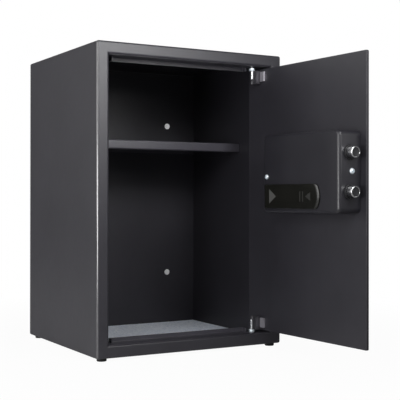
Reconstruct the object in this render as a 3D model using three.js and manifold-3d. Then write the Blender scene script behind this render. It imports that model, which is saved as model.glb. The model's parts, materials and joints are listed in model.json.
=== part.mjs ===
// An electronic safe with its door swung open: a folded steel cabinet with a shelf and a felt floor mat,
// and a plate door that carries the hinges, the boxed lock with two round bolts, and the keypad outside.
// Millimetres. X runs to the right, Y runs from the front to the back and Z runs up. The origin lies on the
// flat underside of the cabinet, in its middle, so that the feet reach a little below zero.
import * as THREE from "three";
import { mergeVertices } from "three/addons/utils/BufferGeometryUtils.js";
import Module from "manifold-3d";

// Cabinet
const cabinetWidth = 346;
const cabinetDepth = 310;
const cabinetHeight = 500;
const sheet = 2; // walls and front flange, folded from one sheet
const backSheet = 3; // the back panel, which takes the wall anchors
const edgeRadius = 3; // the four long edges
const frontBend = 4; // bend between the walls and the front flange
const flangeSide = 20.3; // visible width of the flange beside the opening
const flangeEnd = 20.5; // visible width of the flange above and below the opening
const openingCorner = 1;
const openingRound = 3.5; // bend of the flange into the opening
const seat = 0.3; // gap where one piece is welded to, screwed to or rests on another

// Returns behind the flange
const returnSheet = 2;
const returnDepth = 36; // top and bottom, from the cabinet's front
const lipHeight = 6.5; // how far the top and bottom lips stand into the opening
const lipInset = 15.2; // from the opening's left edge to the start of the lips
const lipToAxis = 7.2; // from the end of the lips to the hinge axis
const lipTab = 11; // closing tab at each end of the lips, along Y
const strikeDepth = 16; // the left return, which the bolts pass behind
const strikeLip = 7;
const foldRadius = 2; // centre line of the folds in thin sheet

// Shelf and its two rails
const shelfSheet = 1.5;
const shelfTop = 353.7;
const shelfSetback = 131.4; // from the cabinet's front to the shelf's front fold
const shelfFold = 16.1; // height of the front fold
const shelfHem = 10;
const shelfBackFold = 12;
const railLeg = 20;
const railLedge = 12;
const railStart = 165; // from the cabinet's front
const railLength = 122;

// Floor mat, feet and the plugs of the wall anchor holes
const matThickness = 4.2;
const matGap = 2.5; // to the walls and to the bottom lip
const footInset = 14;
const footRadius = 8;
const footHeight = 5;
const footFlange = 10; // radius of the flange inside, over the floor
const footFlangeHeight = 1.5;
const anchorSpanX = 220;
const anchorSpanZ = 290.2;
const anchorMiddle = 249.6; // height of the anchor pattern's middle
const anchorRadius = 4.25;
const plugHead = 5.5;
const plugHeadHeight = 1.6;

// Door and hinges
const doorThickness = 5;
const doorSideGap = 1.9;
const doorEndGap = 4;
const hingeInset = 26.1; // from the door's hinge edge to the hinge axis
const hingeDepth = 17.4; // from the door's front face to the hinge axis
const openAngle = 93.1; // degrees
const pinRadius = 2.8;
const pinLength = 28;
const pinPast = 6.5; // from the opening's edge into the cabinet's frame
const bracketHeight = 22.3;
const bracketArm = [-9.5, 4.4]; // along the door, from the hinge axis
const armToAxis = 2.6; // from the arm's end to the hinge axis
const bracketFoot = 12; // reach of the foot along the door, from the arm
const bracketFootWall = 3;
const bracketFootSpan = [3.7, 20.2]; // height of the foot, from the lower end of its bracket
const saddleRadius = 4.4; // round half of the pin
const washerRadius = 5;
const washerHeight = 4.4;
const runningGap = 0.4; // round the hinge pins and other turning or sliding pieces

// Lock case inside the door. Places on the door are u, the distance from its hinge edge towards its free
// edge, v, the distance from its inner face into the cabinet, and the height z.
const caseStart = 99;
const caseWidth = 189.6;
const caseBottom = 229.2;
const caseHeight = 126.6;
const caseDepth = 42.5;
const caseWall = 2.5;
const caseCorner = 9;
const caseRim = 5; // rounding of the front edges
const caseEnd = caseStart + caseWidth;
const caseTop = caseBottom + caseHeight;

// Bolts
const boltRadius = 9.15;
const boltSpacing = 59.3;
const boltsMiddleZ = caseBottom + 62.9;
const boltUpperZ = boltsMiddleZ + boltSpacing / 2;
const boltLowerZ = boltsMiddleZ - boltSpacing / 2;
const boltV = 21.75; // axis of the bolts over the door's inner face
const boltPastEdge = 0.9; // how far the bolts' ends stand past the door's edge when drawn back
const boltThrow = 12;
const boltDish = 5.6; // radius of the dished end
const boltNeck = 4; // rivet neck through the carriage
const collarWall = 2;
const collarProud = 2.6; // out of the case
const guideThickness = 3;
const guideClear = 1; // from the guide to the case's wall
const guideU = caseEnd - caseWall - guideClear - guideThickness; // its face towards the hinges
const guideFoot = 10;
const barThickness = 3;
const barClear = 13.5; // from the bar, with the bolts thrown, to the guide
const barU = guideU - barClear - boltThrow - barThickness;
const barHeight = boltSpacing + 24;
const barDepth = [10, 11]; // of the bar, towards the door and away from it, from the bolts' axis

// Knob, spindle and crank
const knobToBar = 8;
const knobU = barU - knobToBar;
const knobZ = boltsMiddleZ + 11.4;
const knobRadius = 19;
const knobHeight = 31; // over the door's outer face
const knobFlutes = 12;
const spindleRadius = 4;
const turnAngle = 90; // degrees of knob for the whole throw
const crankRadius = boltThrow / (2 * Math.sin(THREE.MathUtils.degToRad(turnAngle / 2)));
const crankPin = 3;
const crankV = 14;
const crankThickness = 4;
const armV = 21;
const armThickness = 3;
const armWidth = 30;
const armNeck = 20; // its width beside the bar, clear of the bolts' rivet heads
const slotGap = 0.5; // each side of the crank pin

// Base plate of the lock, circuit board and solenoid
const plateThickness = 2;
const plateInset = 4; // inside the case's walls
const boardWidth = 86;
const boardClear = 8; // from the board to the solenoid
const boardRise = 33; // from the middle of the battery bay up to the board
const boardDrop = 10.5; // from the top of the case down to the board
const boardV = 28;
const boardThickness = 1.6;
const postRadius = 3;
const solenoidWidth = 20;
const solenoidU = knobU - 18;
const solenoidTop = caseTop - 6.5;
const solenoidHeight = 24;
const boardEnd = solenoidU - solenoidWidth / 2 - boardClear;
const boardStart = boardEnd - boardWidth;
const plungerRadius = 3;
const plungerTravel = 4;

// Batteries, their tray and sliding cover
const cellRadius = 7.25;
const cellLength = 50.5;
const cellPitch = 15.5;
const cellEndGap = 1.5;
const cellsZ = caseBottom + 26.2;
const trayWall = 1.5;
const trayFloorV = 22;
const trayRimV = 38.4;
const coverStart = caseStart + 10.5;
const coverLap = 3.4; // over the edges of the battery opening
const coverBulge = 6.5;
const coverHeight = 4;
const coverSlope = 2.2;
const coverTravel = 9.5;
const reliefHeight = 0.7; // the raised arrow and bars on the cover
const hookLength = 18;
const hookOffsets = [25, 89]; // from the cover's start

// Screws and reset button on the case
const frontScrewHead = 4.1;
const sideScrewHead = 4.7;
const screwHeadHeight = 2.8;
const screwShank = 2;
const frontScrew = [caseStart + 11.3, caseBottom + 58.1];
const sideScrew = [17.5, boltsMiddleZ + 1.3];
const resetRadius = 3;
const resetProud = 1.8;
const resetPlace = [24, caseTop - 33.5];

// Keypad outside
const fasciaWidth = 148;
const fasciaHeight = 116;
const fasciaEnd = knobU + 32;
const fasciaStart = fasciaEnd - fasciaWidth;
const fasciaTop = knobZ + 49;
const fasciaBottom = fasciaTop - fasciaHeight;
const fasciaThickness = 7;
const fasciaCorner = 12;
const fasciaRim = 2.5;
const keyWidth = 14;
const keyHeight = 12;
const keyPitchU = 19.5;
const keyPitchZ = 17;
const keyRowTop = fasciaTop - 28; // middle of the upper row
const keyMiddleU = fasciaStart + 44;
const keyProud = 2.2;
const keyDepth = 4.2; // of the cap inside its well
const keyTravel = 1.2;
const keyGap = 0.4;
const ledWindow = [22, 4.4];
const ledZ = fasciaTop - 9;
const keyLockU = knobU;
const keyLockZ = knobZ - 47;
const keyLockRadius = 7.5;
const keyLockTail = 13;
const coverDiscRadius = 12;
const coverDiscThickness = 2;
const coverPivotRise = 15; // from the key lock up to the cover's pivot
const rivetRadius = 2.2;
const cableHole = 6;

const wasm = await Module();
wasm.setup();

// A closed three.js geometry as a solid that can be joined and cut.
function solid(geometry) {
  const plain = geometry.clone();
  plain.deleteAttribute("normal");
  plain.deleteAttribute("uv");
  const merged = mergeVertices(plain, 1e-4);
  return new wasm.Manifold(
    new wasm.Mesh({
      numProp: 3,
      vertProperties: merged.attributes.position.array,
      triVerts: new Uint32Array(merged.index.array),
    }),
  );
}

const join = (first, ...rest) => rest.reduce((body, piece) => body.add(piece), first);
const cut = (first, ...rest) => rest.reduce((body, piece) => body.subtract(piece), first);

function addMesh(parent, name, body, material) {
  const { vertProperties, triVerts } = body.getMesh();
  const geometry = new THREE.BufferGeometry();
  geometry.setAttribute("position", new THREE.BufferAttribute(vertProperties, 3));
  geometry.setIndex(new THREE.BufferAttribute(triVerts, 1));
  geometry.computeVertexNormals();
  const mesh = new THREE.Mesh(geometry, material);
  mesh.name = name;
  parent.add(mesh);
}

function block([x0, x1], [y0, y1], [z0, z1]) {
  const geometry = new THREE.BoxGeometry(x1 - x0, y1 - y0, z1 - z0);
  return solid(geometry.translate((x0 + x1) / 2, (y0 + y1) / 2, (z0 + z1) / 2));
}

// A vertex from its two cross-section coordinates and its place along an axis.
function place(axis, a, b, c) {
  if (axis === "x") return [c, a, b];
  if (axis === "y") return [a, c, b];
  return [a, b, c];
}

// A skin over rings of equal point counts, each a convex outline of [a, b] points at a place along the axis.
function skin(axis, rings) {
  const count = rings[0].points.length;
  const positions = rings.flatMap((ring) => ring.points.flatMap(([a, b]) => place(axis, a, b, ring.at)));
  const faces = [];
  for (let level = 0; level < rings.length - 1; level++) {
    for (let i = 0; i < count; i++) {
      const here = level * count + i;
      const next = level * count + ((i + 1) % count);
      faces.push([here, next, next + count], [here, next + count, here + count]);
    }
  }
  const last = (rings.length - 1) * count;
  for (let i = 1; i < count - 1; i++) {
    faces.push([0, i + 1, i], [last, last + i, last + i + 1]);
  }
  const turned = axis === "y" ? faces.map(([i, j, k]) => [i, k, j]) : faces;
  const geometry = new THREE.BufferGeometry();
  geometry.setAttribute("position", new THREE.Float32BufferAttribute(positions, 3));
  geometry.setIndex(turned.flat());
  return solid(geometry);
}

// The outline of a rectangle with round corners, drawn inwards by an inset.
function roundedOutline([a0, a1], [b0, b1], radius, inset) {
  const wideSteps = radius > 3 ? 4 : 2;
  const steps = radius > 0 ? wideSteps : 0;
  const r = radius > 0 ? Math.max(radius - inset, 0.05) : 0;
  const [left, right, low, high] = [a0 + inset, a1 - inset, b0 + inset, b1 - inset];
  const corners = [
    [right - r, high - r, 0],
    [left + r, high - r, 90],
    [left + r, low + r, 180],
    [right - r, low + r, 270],
  ];
  return corners.flatMap(([a, b, start]) =>
    Array.from({ length: steps + 1 }, (_, i) => {
      const angle = THREE.MathUtils.degToRad(start + (steps ? (90 * i) / steps : 0));
      return [a + r * Math.cos(angle), b + r * Math.sin(angle)];
    }),
  );
}

// Places and insets from one end to the other, with a quarter round at each; a negative radius flares out.
function rims(from, to, startRadius, endRadius) {
  const steps = 3;
  const quarter = (radius) =>
    Array.from({ length: radius ? steps + 1 : 1 }, (_, i) => {
      const angle = radius ? (Math.PI / 2) * (i / steps) : 0;
      return [Math.abs(radius) * (1 - Math.cos(angle)), radius * (1 - Math.sin(angle))];
    });
  const start = quarter(startRadius).map(([along, inset]) => [from + along, inset]);
  const end = quarter(endRadius).map(([along, inset]) => [to - along, inset]);
  return [...start, ...end.reverse()];
}

// A block with round corners in its cross-section and the given rims along its axis.
function softBlock(axis, aRange, bRange, radius, ends) {
  return skin(
    axis,
    ends.map(([at, inset]) => ({ at, points: roundedOutline(aRange, bRange, radius, inset) })),
  );
}

// A round bar along an axis, at its place in the other two coordinates.
function rod(axis, radius, [from, to], [a, b], segments = 20) {
  const points = Array.from({ length: segments }, (_, i) => {
    const angle = (2 * Math.PI * i) / segments;
    return [a + radius * Math.cos(angle), b + radius * Math.sin(angle)];
  });
  return skin(axis, [
    { at: from, points },
    { at: to, points },
  ]);
}

// A turned piece: [radius, height] pairs from the lower end to the upper, about an axis along Z at [x, y].
function turned(profile, [x, y] = [0, 0], segments = 20) {
  const outline = profile.map(([radius, height]) => new THREE.Vector2(radius, height));
  const geometry = new THREE.LatheGeometry(outline, segments).rotateX(Math.PI / 2);
  return solid(geometry.translate(x, y, 0));
}

// A flat outline of [a, b] points drawn out along an axis.
function prism(axis, points, [from, to]) {
  const shape = new THREE.Shape(points.map(([a, b]) => new THREE.Vector2(a, b)));
  const geometry = new THREE.ExtrudeGeometry(shape, { depth: to - from, bevelEnabled: false });
  const basis = new THREE.Matrix4();
  if (axis === "x") {
    basis.makeBasis(new THREE.Vector3(0, 1, 0), new THREE.Vector3(0, 0, 1), new THREE.Vector3(1, 0, 0));
    basis.setPosition(from, 0, 0);
  } else if (axis === "y") {
    basis.makeBasis(new THREE.Vector3(1, 0, 0), new THREE.Vector3(0, 0, 1), new THREE.Vector3(0, -1, 0));
    basis.setPosition(0, to, 0);
  } else {
    basis.setPosition(0, 0, from);
  }
  return solid(geometry.applyMatrix4(basis));
}

// The outline of folded sheet from the corners of its centre line, with a round bend at each fold.
function foldedOutline(corners, thickness, bend = foldRadius) {
  const line = new THREE.Path();
  const points = corners.map(([a, b]) => new THREE.Vector2(a, b));
  line.moveTo(points[0].x, points[0].y);
  for (let i = 1; i < points.length - 1; i++) {
    const before = points[i - 1].clone().sub(points[i]).setLength(bend).add(points[i]);
    const after = points[i + 1].clone().sub(points[i]).setLength(bend).add(points[i]);
    line.lineTo(before.x, before.y);
    line.quadraticCurveTo(points[i].x, points[i].y, after.x, after.y);
  }
  line.lineTo(points.at(-1).x, points.at(-1).y);
  const centre = line.getPoints(4).filter((p, i, all) => i === 0 || p.distanceTo(all[i - 1]) > 1e-3);
  const side = (sign) =>
    centre.map((p, i) => {
      const into = p.clone().sub(centre[Math.max(i - 1, 0)]).normalize();
      const out = centre[Math.min(i + 1, centre.length - 1)].clone().sub(p).normalize();
      const along = into.clone().add(out).normalize();
      const spread = thickness / 2 / Math.max(along.dot(into.lengthSq() ? into : out), 0.5);
      return [p.x - along.y * sign * spread, p.y + along.x * sign * spread];
    });
  return [...side(1), ...side(-1).reverse()];
}

function metal(color, metalness, roughness) {
  return new THREE.MeshStandardMaterial({ color, metalness, roughness });
}

const paint = metal(0x3f3f43, 0.1, 0.6);
const plastic = metal(0x38383c, 0, 0.5);
const glossBlack = metal(0x101012, 0, 0.25);
const zinc = metal(0xb9bcc2, 0.9, 0.35);
const chrome = metal(0xd8dadf, 1, 0.15);
const steel = metal(0x8d8f94, 0.9, 0.4);
const rubber = metal(0x1c1c1d, 0, 0.9);
const felt = metal(0x6f7681, 0, 1);
const greyPlastic = metal(0xb4b6ba, 0, 0.5);
const boardGreen = metal(0x1f5a3a, 0.1, 0.5);
const cellSkin = metal(0x9a9ca2, 0.3, 0.4);
const redPlastic = metal(0xa02020, 0, 0.5);
const brass = metal(0xb79a55, 0.9, 0.35);
const smoke = metal(0x2a1414, 0, 0.2);

// Planes of the cabinet
const left = -cabinetWidth / 2;
const right = cabinetWidth / 2;
const front = -cabinetDepth / 2;
const rear = cabinetDepth / 2;
const wallIn = right - sheet; // inner faces of the side walls lie at plus and minus this
const backIn = rear - backSheet;
const openingLeft = left + flangeSide;
const openingRight = right - flangeSide;
const openingBottom = flangeEnd;
const openingTop = cabinetHeight - flangeEnd;
const axisX = openingRight - doorSideGap - hingeInset;
const axisY = front + hingeDepth;
const anchorX = [-anchorSpanX / 2, anchorSpanX / 2];
const anchorZ = [anchorMiddle - anchorSpanZ / 2, anchorMiddle + anchorSpanZ / 2];
const footX = [left + footInset, right - footInset];
const footY = [front + footInset, rear - footInset];

function cabinetShell() {
  const overrun = 1;
  const bends = rims(front, rear, frontBend, 0);
  const outside = softBlock("y", [left, right], [0, cabinetHeight], edgeRadius, bends);
  const inside = softBlock(
    "y",
    [-wallIn, wallIn],
    [sheet, cabinetHeight - sheet],
    edgeRadius - sheet,
    rims(front + sheet, rear + overrun, frontBend - sheet, 0),
  );
  const opening = softBlock(
    "y",
    [openingLeft, openingRight],
    [openingBottom, openingTop],
    openingCorner,
    rims(front, front + openingRound + overrun, -openingRound, 0),
  );
  const footHoles = footX.flatMap((x) =>
    footY.map((y) => rod("z", footRadius + seat, [-overrun, sheet + overrun], [x, y])),
  );
  return cut(outside, inside, opening, ...footHoles);
}

function backPanel() {
  const overrun = 1;
  const panel = softBlock(
    "y",
    [-wallIn + seat, wallIn - seat],
    [sheet + seat, cabinetHeight - sheet - seat],
    edgeRadius - sheet - seat,
    rims(backIn, rear, 0, 0),
  );
  const holes = anchorX.flatMap((x) =>
    anchorZ.map((z) => rod("y", anchorRadius, [backIn - overrun, rear + overrun], [x, z])),
  );
  return cut(panel, ...holes);
}

// The return and lip along the top or bottom of the opening, with a tab at each end of the lip.
function frameChannel(atTop) {
  const level = (depth) => (atTop ? cabinetHeight - flangeEnd + depth : flangeEnd - depth);
  const plate = [level(0), level(returnSheet)].sort((a, b) => a - b);
  const start = front + sheet + seat;
  const lipY = front + returnDepth - returnSheet / 2;
  const lipFrom = openingLeft + lipInset;
  const lipTo = axisX - lipToAxis;
  const fold = foldedOutline(
    [
      [start, level(returnSheet / 2)],
      [lipY, level(returnSheet / 2)],
      [lipY, level(-lipHeight)],
    ],
    returnSheet,
  );
  const tab = [level(-lipHeight), level(returnSheet / 2)].sort((a, b) => a - b);
  const body = join(
    prism("x", fold, [lipFrom, lipTo]),
    block([openingLeft, lipFrom + sheet], [start, lipY - foldRadius], plate),
    block([lipTo - sheet, openingRight - seat], [start, lipY - foldRadius], plate),
    block([lipFrom, lipFrom + returnSheet], [lipY - lipTab, lipY], tab),
    block([lipTo - returnSheet, lipTo], [lipY - lipTab, lipY], tab),
  );
  const pinHole = rod("z", pinRadius + runningGap, [plate[0] - 1, plate[1] + 1], [axisX, axisY]);
  return cut(body, pinHole);
}

// The left return, folded back behind the flange; the thrown bolts pass behind its lip.
function strikeReturn() {
  const x = openingLeft - returnSheet / 2;
  const y = front + strikeDepth - returnSheet / 2;
  const fold = foldedOutline(
    [
      [x, front + sheet + seat],
      [x, y],
      [x - strikeLip, y],
    ],
    returnSheet,
  );
  return prism("z", fold, [openingBottom + seat, openingTop - seat]);
}

function shelf() {
  const half = shelfSheet / 2;
  const frontY = front + shelfSetback + half;
  const backY = backIn - seat - half;
  const deck = shelfTop - half;
  const hemZ = shelfTop - shelfFold + half;
  const fold = foldedOutline(
    [
      [frontY + shelfHem, hemZ],
      [frontY, hemZ],
      [frontY, deck],
      [backY, deck],
      [backY, deck - shelfBackFold],
    ],
    shelfSheet,
  );
  return prism("x", fold, [-wallIn + seat, wallIn - seat]);
}

function shelfRail(side) {
  const half = shelfSheet / 2;
  const wall = side * (wallIn - seat - half);
  const ledge = shelfTop - shelfSheet - seat - half;
  const fold = foldedOutline(
    [
      [wall, ledge - railLeg],
      [wall, ledge],
      [wall - side * railLedge, ledge],
    ],
    shelfSheet,
  );
  return prism("y", fold, [front + railStart, front + railStart + railLength]);
}

function floorMat() {
  const low = sheet + seat;
  const reach = wallIn - matGap;
  const mat = softBlock(
    "z",
    [-reach, reach],
    [front + returnDepth + matGap, backIn - matGap],
    edgeRadius,
    rims(low, low + matThickness, 0, 1),
  );
  const pockets = footX.map((x) =>
    rod("z", footFlange + runningGap, [low - 1, low + footFlangeHeight + seat], [x, footY[1]]),
  );
  return cut(mat, ...pockets);
}

// A rubber foot pushed out through the floor from inside, with its flange over the floor sheet.
function foot(x, y) {
  const over = sheet + seat;
  const bevel = 0.7;
  const profile = [
    [0, -footHeight],
    [footRadius - bevel, -footHeight],
    [footRadius, bevel - footHeight],
    [footRadius, over],
    [footFlange, over],
    [footFlange, over + footFlangeHeight - bevel],
    [footFlange - bevel, over + footFlangeHeight],
    [0, over + footFlangeHeight],
  ];
  return turned(profile, [x, y]);
}

// A push-in plug that covers a wall anchor hole from inside.
function anchorPlug(x, z) {
  const profile = [
    [0, 0],
    [plugHead - 1, 0],
    [plugHead, plugHeadHeight - 0.6],
    [plugHead, plugHeadHeight],
    [anchorRadius - seat, plugHeadHeight],
    [anchorRadius - seat, plugHeadHeight + backSheet - seat],
    [0, plugHeadHeight + backSheet - seat],
  ];
  return turned(profile).rotate([-90, 0, 0]).translate([x, backIn - seat - plugHeadHeight, z]);
}

// A washer round a hinge pin that stands at [x, y].
function hingeWasher(low, at) {
  const bore = rod("z", pinRadius + runningGap, [low - 1, low + washerHeight + 1], at);
  return cut(rod("z", washerRadius, [low, low + washerHeight], at), bore);
}

// Planes of the door, in its own frame: the hinge axis is the origin and the door is shut.
const outerFace = -hingeDepth;
const innerFace = outerFace + doorThickness;
const doorWidth = cabinetWidth - 2 * (flangeSide + doorSideGap);
const doorBottom = openingBottom + doorEndGap;
const doorTop = openingTop - doorEndGap;
const atU = (u) => hingeInset - u;
const atV = (v) => innerFace + v;
const rangeU = ([u0, u1]) => [atU(u1), atU(u0)];
const rangeV = ([v0, v1]) => [atV(v0), atV(v1)];
const fasciaBack = -doorThickness - seat; // v of the fascia's back
const fasciaFront = fasciaBack - fasciaThickness;

const doorBlock = (u, v, z) => block(rangeU(u), rangeV(v), z);
const rodThroughDoor = (radius, v, [u, z], segments) => rod("y", radius, rangeV(v), [atU(u), z], segments);
const rodAlongDoor = (radius, u, [v, z], segments) => rod("x", radius, rangeU(u), [atV(v), z], segments);

function doorPanel() {
  const panel = softBlock(
    "y",
    rangeU([0, doorWidth]),
    [doorBottom, doorTop],
    openingCorner,
    rims(outerFace, innerFace, 0.8, 0.8),
  );
  const through = [-doorThickness - 1, 1];
  return cut(
    panel,
    rodThroughDoor(spindleRadius + runningGap, through, [knobU, knobZ]),
    rodThroughDoor(keyLockRadius + runningGap, through, [keyLockU, keyLockZ]),
    rodThroughDoor(cableHole, through, [keyMiddleU, knobZ]),
  );
}

// The lower washer lies on the frame and carries the bracket; the upper one lies on its bracket.
const lowerWasherLow = openingBottom + seat;
const lowerBracketLow = lowerWasherLow + washerHeight + seat;
const upperBracketLow = openingTop - lipHeight - runningGap - bracketHeight;
const upperWasherLow = upperBracketLow + bracketHeight + seat;

// A steel bracket: a foot on the door, an arm that stands off it and a saddle round half of the pin.
function hingeBracket(low) {
  const base = innerFace + seat;
  const [from, to] = bracketArm;
  const span = [low, low + bracketHeight];
  const behindPin = block([-saddleRadius - 1, saddleRadius + 1], [-runningGap * 2, saddleRadius + 1], span);
  const body = join(
    block(
      [from - bracketFoot, from + 1],
      [base, base + bracketFootWall],
      bracketFootSpan.map((height) => low + height),
    ),
    block([from, to], [base, -armToAxis], span),
    cut(rod("z", saddleRadius, span, [0, 0]), behindPin),
  );
  return cut(body, rod("z", pinRadius + seat, [-1, cabinetHeight], [0, 0]));
}

function hingePin(atTop) {
  const low = atTop ? openingTop + pinPast - pinLength : openingBottom - pinPast;
  const high = low + pinLength;
  const tip = 0.8;
  const profile = [
    [0, low],
    [pinRadius - tip, low],
    [pinRadius, low + tip],
    [pinRadius, high - tip],
    [pinRadius - tip, high],
    [0, high],
  ];
  return turned(profile);
}

function hooks(start) {
  return [start, start + hookLength];
}

const trayStart = coverStart + 5;
const trayEnd = trayStart + 3 * trayWall + 2 * cellLength + 4 * cellEndGap;
const cellsStart = trayStart + trayWall + cellEndGap;
const cellRows = [cellsZ - cellPitch / 2, cellsZ + cellPitch / 2];
const cellHalfHeight = cellPitch / 2 + cellRadius + 1;
const bayZ = [cellsZ - cellHalfHeight, cellsZ + cellHalfHeight]; // the battery opening in the case
const bayU = [trayStart, trayEnd + coverTravel];
const railU = [bayU[0] + 2, trayEnd - 0.5];
const hookStarts = hookOffsets.map((offset) => coverStart + offset);
const coverEnd = bayU[1] + coverLap;
const coverZ = [bayZ[0] - coverLap, bayZ[1] + coverLap];
const hookReach = 2.2;

function lockCase() {
  const base = seat;
  const outside = softBlock(
    "y",
    rangeU([caseStart, caseEnd]),
    [caseBottom, caseTop],
    caseCorner,
    rims(atV(base), atV(caseDepth), 0, caseRim),
  );
  const inside = softBlock(
    "y",
    rangeU([caseStart + caseWall, caseEnd - caseWall]),
    [caseBottom + caseWall, caseTop - caseWall],
    caseCorner - caseWall,
    rims(atV(-1), atV(caseDepth - caseWall), 0, caseRim - caseWall),
  );
  const skinV = [caseDepth - caseWall - 1, caseDepth + 1];
  const sideU = [caseEnd - caseWall - 1, caseEnd + 1];
  const notches = hookStarts.flatMap((start) => {
    const [u0, u1] = hooks(start + coverTravel);
    const span = [u0 - runningGap, u1 + runningGap];
    const reach = hookReach + runningGap;
    return [
      doorBlock(span, skinV, [bayZ[0] - reach, bayZ[0] + 1]),
      doorBlock(span, skinV, [bayZ[1] - 1, bayZ[1] + reach]),
    ];
  });
  const collar = boltRadius + runningGap + collarWall + seat;
  return cut(
    outside,
    inside,
    doorBlock(bayU, skinV, bayZ),
    ...notches,
    rodAlongDoor(collar, sideU, [boltV, boltUpperZ], 28),
    rodAlongDoor(collar, sideU, [boltV, boltLowerZ], 28),
    rodAlongDoor(screwShank + seat, sideU, sideScrew),
    rodThroughDoor(screwShank + seat, skinV, frontScrew),
    rodAlongDoor(resetRadius + runningGap, [caseStart - 1, caseStart + caseWall + 1], resetPlace),
  );
}

const boardZ = [cellsZ + boardRise, caseTop - boardDrop];
const postInset = 5;
const platePosts = [boardStart + postInset, boardEnd - postInset].flatMap((u) => [
  [u, boardZ[0] + postInset],
  [u, boardZ[1] - postInset],
]);
const plateV = [seat, seat + plateThickness];

// The steel plate that carries the lock, with the posts of the circuit board and of the front screw.
function lockBasePlate() {
  const inset = caseWall + plateInset;
  const plateU = [caseStart + inset, caseEnd - inset];
  const plate = doorBlock(plateU, plateV, [caseBottom + inset, caseTop - inset]);
  const posts = platePosts.map((at) => rodThroughDoor(postRadius, [plateV[0], boardV - seat], at, 12));
  const screwPost = rodThroughDoor(postRadius + 1, [plateV[0], caseDepth - caseWall - seat], frontScrew, 16);
  const through = [-1, plateV[1] + 1];
  return cut(
    join(plate, ...posts, screwPost),
    rodThroughDoor(screwShank + seat, [24, caseDepth], frontScrew, 16),
    rodThroughDoor(spindleRadius + runningGap, through, [knobU, knobZ]),
    rodThroughDoor(keyLockRadius + runningGap, through, [keyLockU, keyLockZ]),
  );
}

// The angle inside the case's side wall with the two bushes in which the bolts slide.
function boltGuide() {
  const base = plateV[1] + seat;
  const reach = boltRadius + runningGap + collarWall + 4;
  const z = [boltLowerZ - reach, boltUpperZ + reach];
  const wall = doorBlock([guideU, guideU + guideThickness], [base, boltV + reach - 2], z);
  const foot = doorBlock([guideU - guideFoot, guideU + guideThickness], [base, base + guideThickness], z);
  const bushU = [guideU, caseEnd + collarProud];
  const bushes = [boltUpperZ, boltLowerZ].map((at) =>
    rodAlongDoor(boltRadius + runningGap + collarWall, bushU, [boltV, at], 28),
  );
  const bores = [boltUpperZ, boltLowerZ].map((at) =>
    rodAlongDoor(boltRadius + runningGap, [guideU - 1, caseEnd + collarProud + 1], [boltV, at], 28),
  );
  const screwHole = rodAlongDoor(screwShank + seat, [guideU - 1, caseEnd], sideScrew, 16);
  return cut(join(wall, foot, ...bushes), ...bores, screwHole);
}

// A round head and its shank, from the head's seat.
function panScrew(head, shankLength) {
  return turned(
    [
      [0, -shankLength],
      [screwShank, -shankLength],
      [screwShank, 0],
      [head, 0],
      [head, screwHeadHeight * 0.3],
      [head * 0.86, screwHeadHeight * 0.72],
      [head * 0.55, screwHeadHeight * 0.95],
      [head * 0.2, screwHeadHeight],
      [0, screwHeadHeight],
    ],
    [0, 0],
    16,
  );
}

function sideScrewBody() {
  const screw = panScrew(sideScrewHead, caseWall + guideThickness + 1).rotate([0, -90, 0]);
  return screw.translate([atU(caseEnd + seat), atV(sideScrew[0]), sideScrew[1]]);
}

function frontScrewBody() {
  const screw = panScrew(frontScrewHead, 16).rotate([-90, 0, 0]);
  return screw.translate([atU(frontScrew[0]), atV(caseDepth + seat), frontScrew[1]]);
}

function batteryTray() {
  const outerZ = [bayZ[0] - trayWall, bayZ[1] + trayWall];
  const outside = doorBlock([trayStart, trayEnd], [trayFloorV, trayRimV], outerZ);
  const firstBay = [trayStart + trayWall, cellsStart + cellLength + cellEndGap];
  const secondBay = [firstBay[1] + trayWall, trayEnd - trayWall];
  const floorTop = trayFloorV + trayWall;
  const bays = [firstBay, secondBay].map((u) => doorBlock(u, [floorTop, trayRimV + 1], bayZ));
  const legSize = 6;
  const legs = [trayStart, trayEnd - legSize].flatMap((u) =>
    [outerZ[0], outerZ[1] - legSize].map((z) =>
      doorBlock([u, u + legSize], [plateV[1] + seat, trayFloorV + 1], [z, z + legSize]),
    ),
  );
  return cut(join(outside, ...legs), ...bays);
}

// A round cell with its small terminal; cells lie along the door in two rows of two.
function cell(column, row) {
  const start = cellsStart + column * (cellLength + 2 * cellEndGap + trayWall);
  const nub = 1.2;
  const nubRadius = 2.6;
  const v = trayFloorV + trayWall + seat + cellRadius;
  return join(
    rodAlongDoor(cellRadius, [start, start + cellLength - nub], [v, cellRows[row]], 20),
    rodAlongDoor(nubRadius, [start + 1, start + cellLength], [v, cellRows[row]], 12),
  );
}

function circuitBoard() {
  const board = doorBlock([boardStart, boardEnd], [boardV, boardV + boardThickness], boardZ);
  const top = boardV + boardThickness - 0.2;
  const chip = (right, drop, [width, height, thickness]) =>
    doorBlock(
      [boardEnd - right - width, boardEnd - right],
      [top, top + thickness],
      [boardZ[1] - drop - height, boardZ[1] - drop],
    );
  const capacitors = [14, 23].map((offset) =>
    rodThroughDoor(3.2, [top, top + 7], [boardEnd - offset, boardZ[1] - 12], 16),
  );
  const chips = [chip(36, 18, [18, 18, 3]), chip(16, 38, [10, 10, 2.4]), chip(64, 6, [12, 8, 6])];
  return join(board, ...chips, ...capacitors);
}

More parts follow.
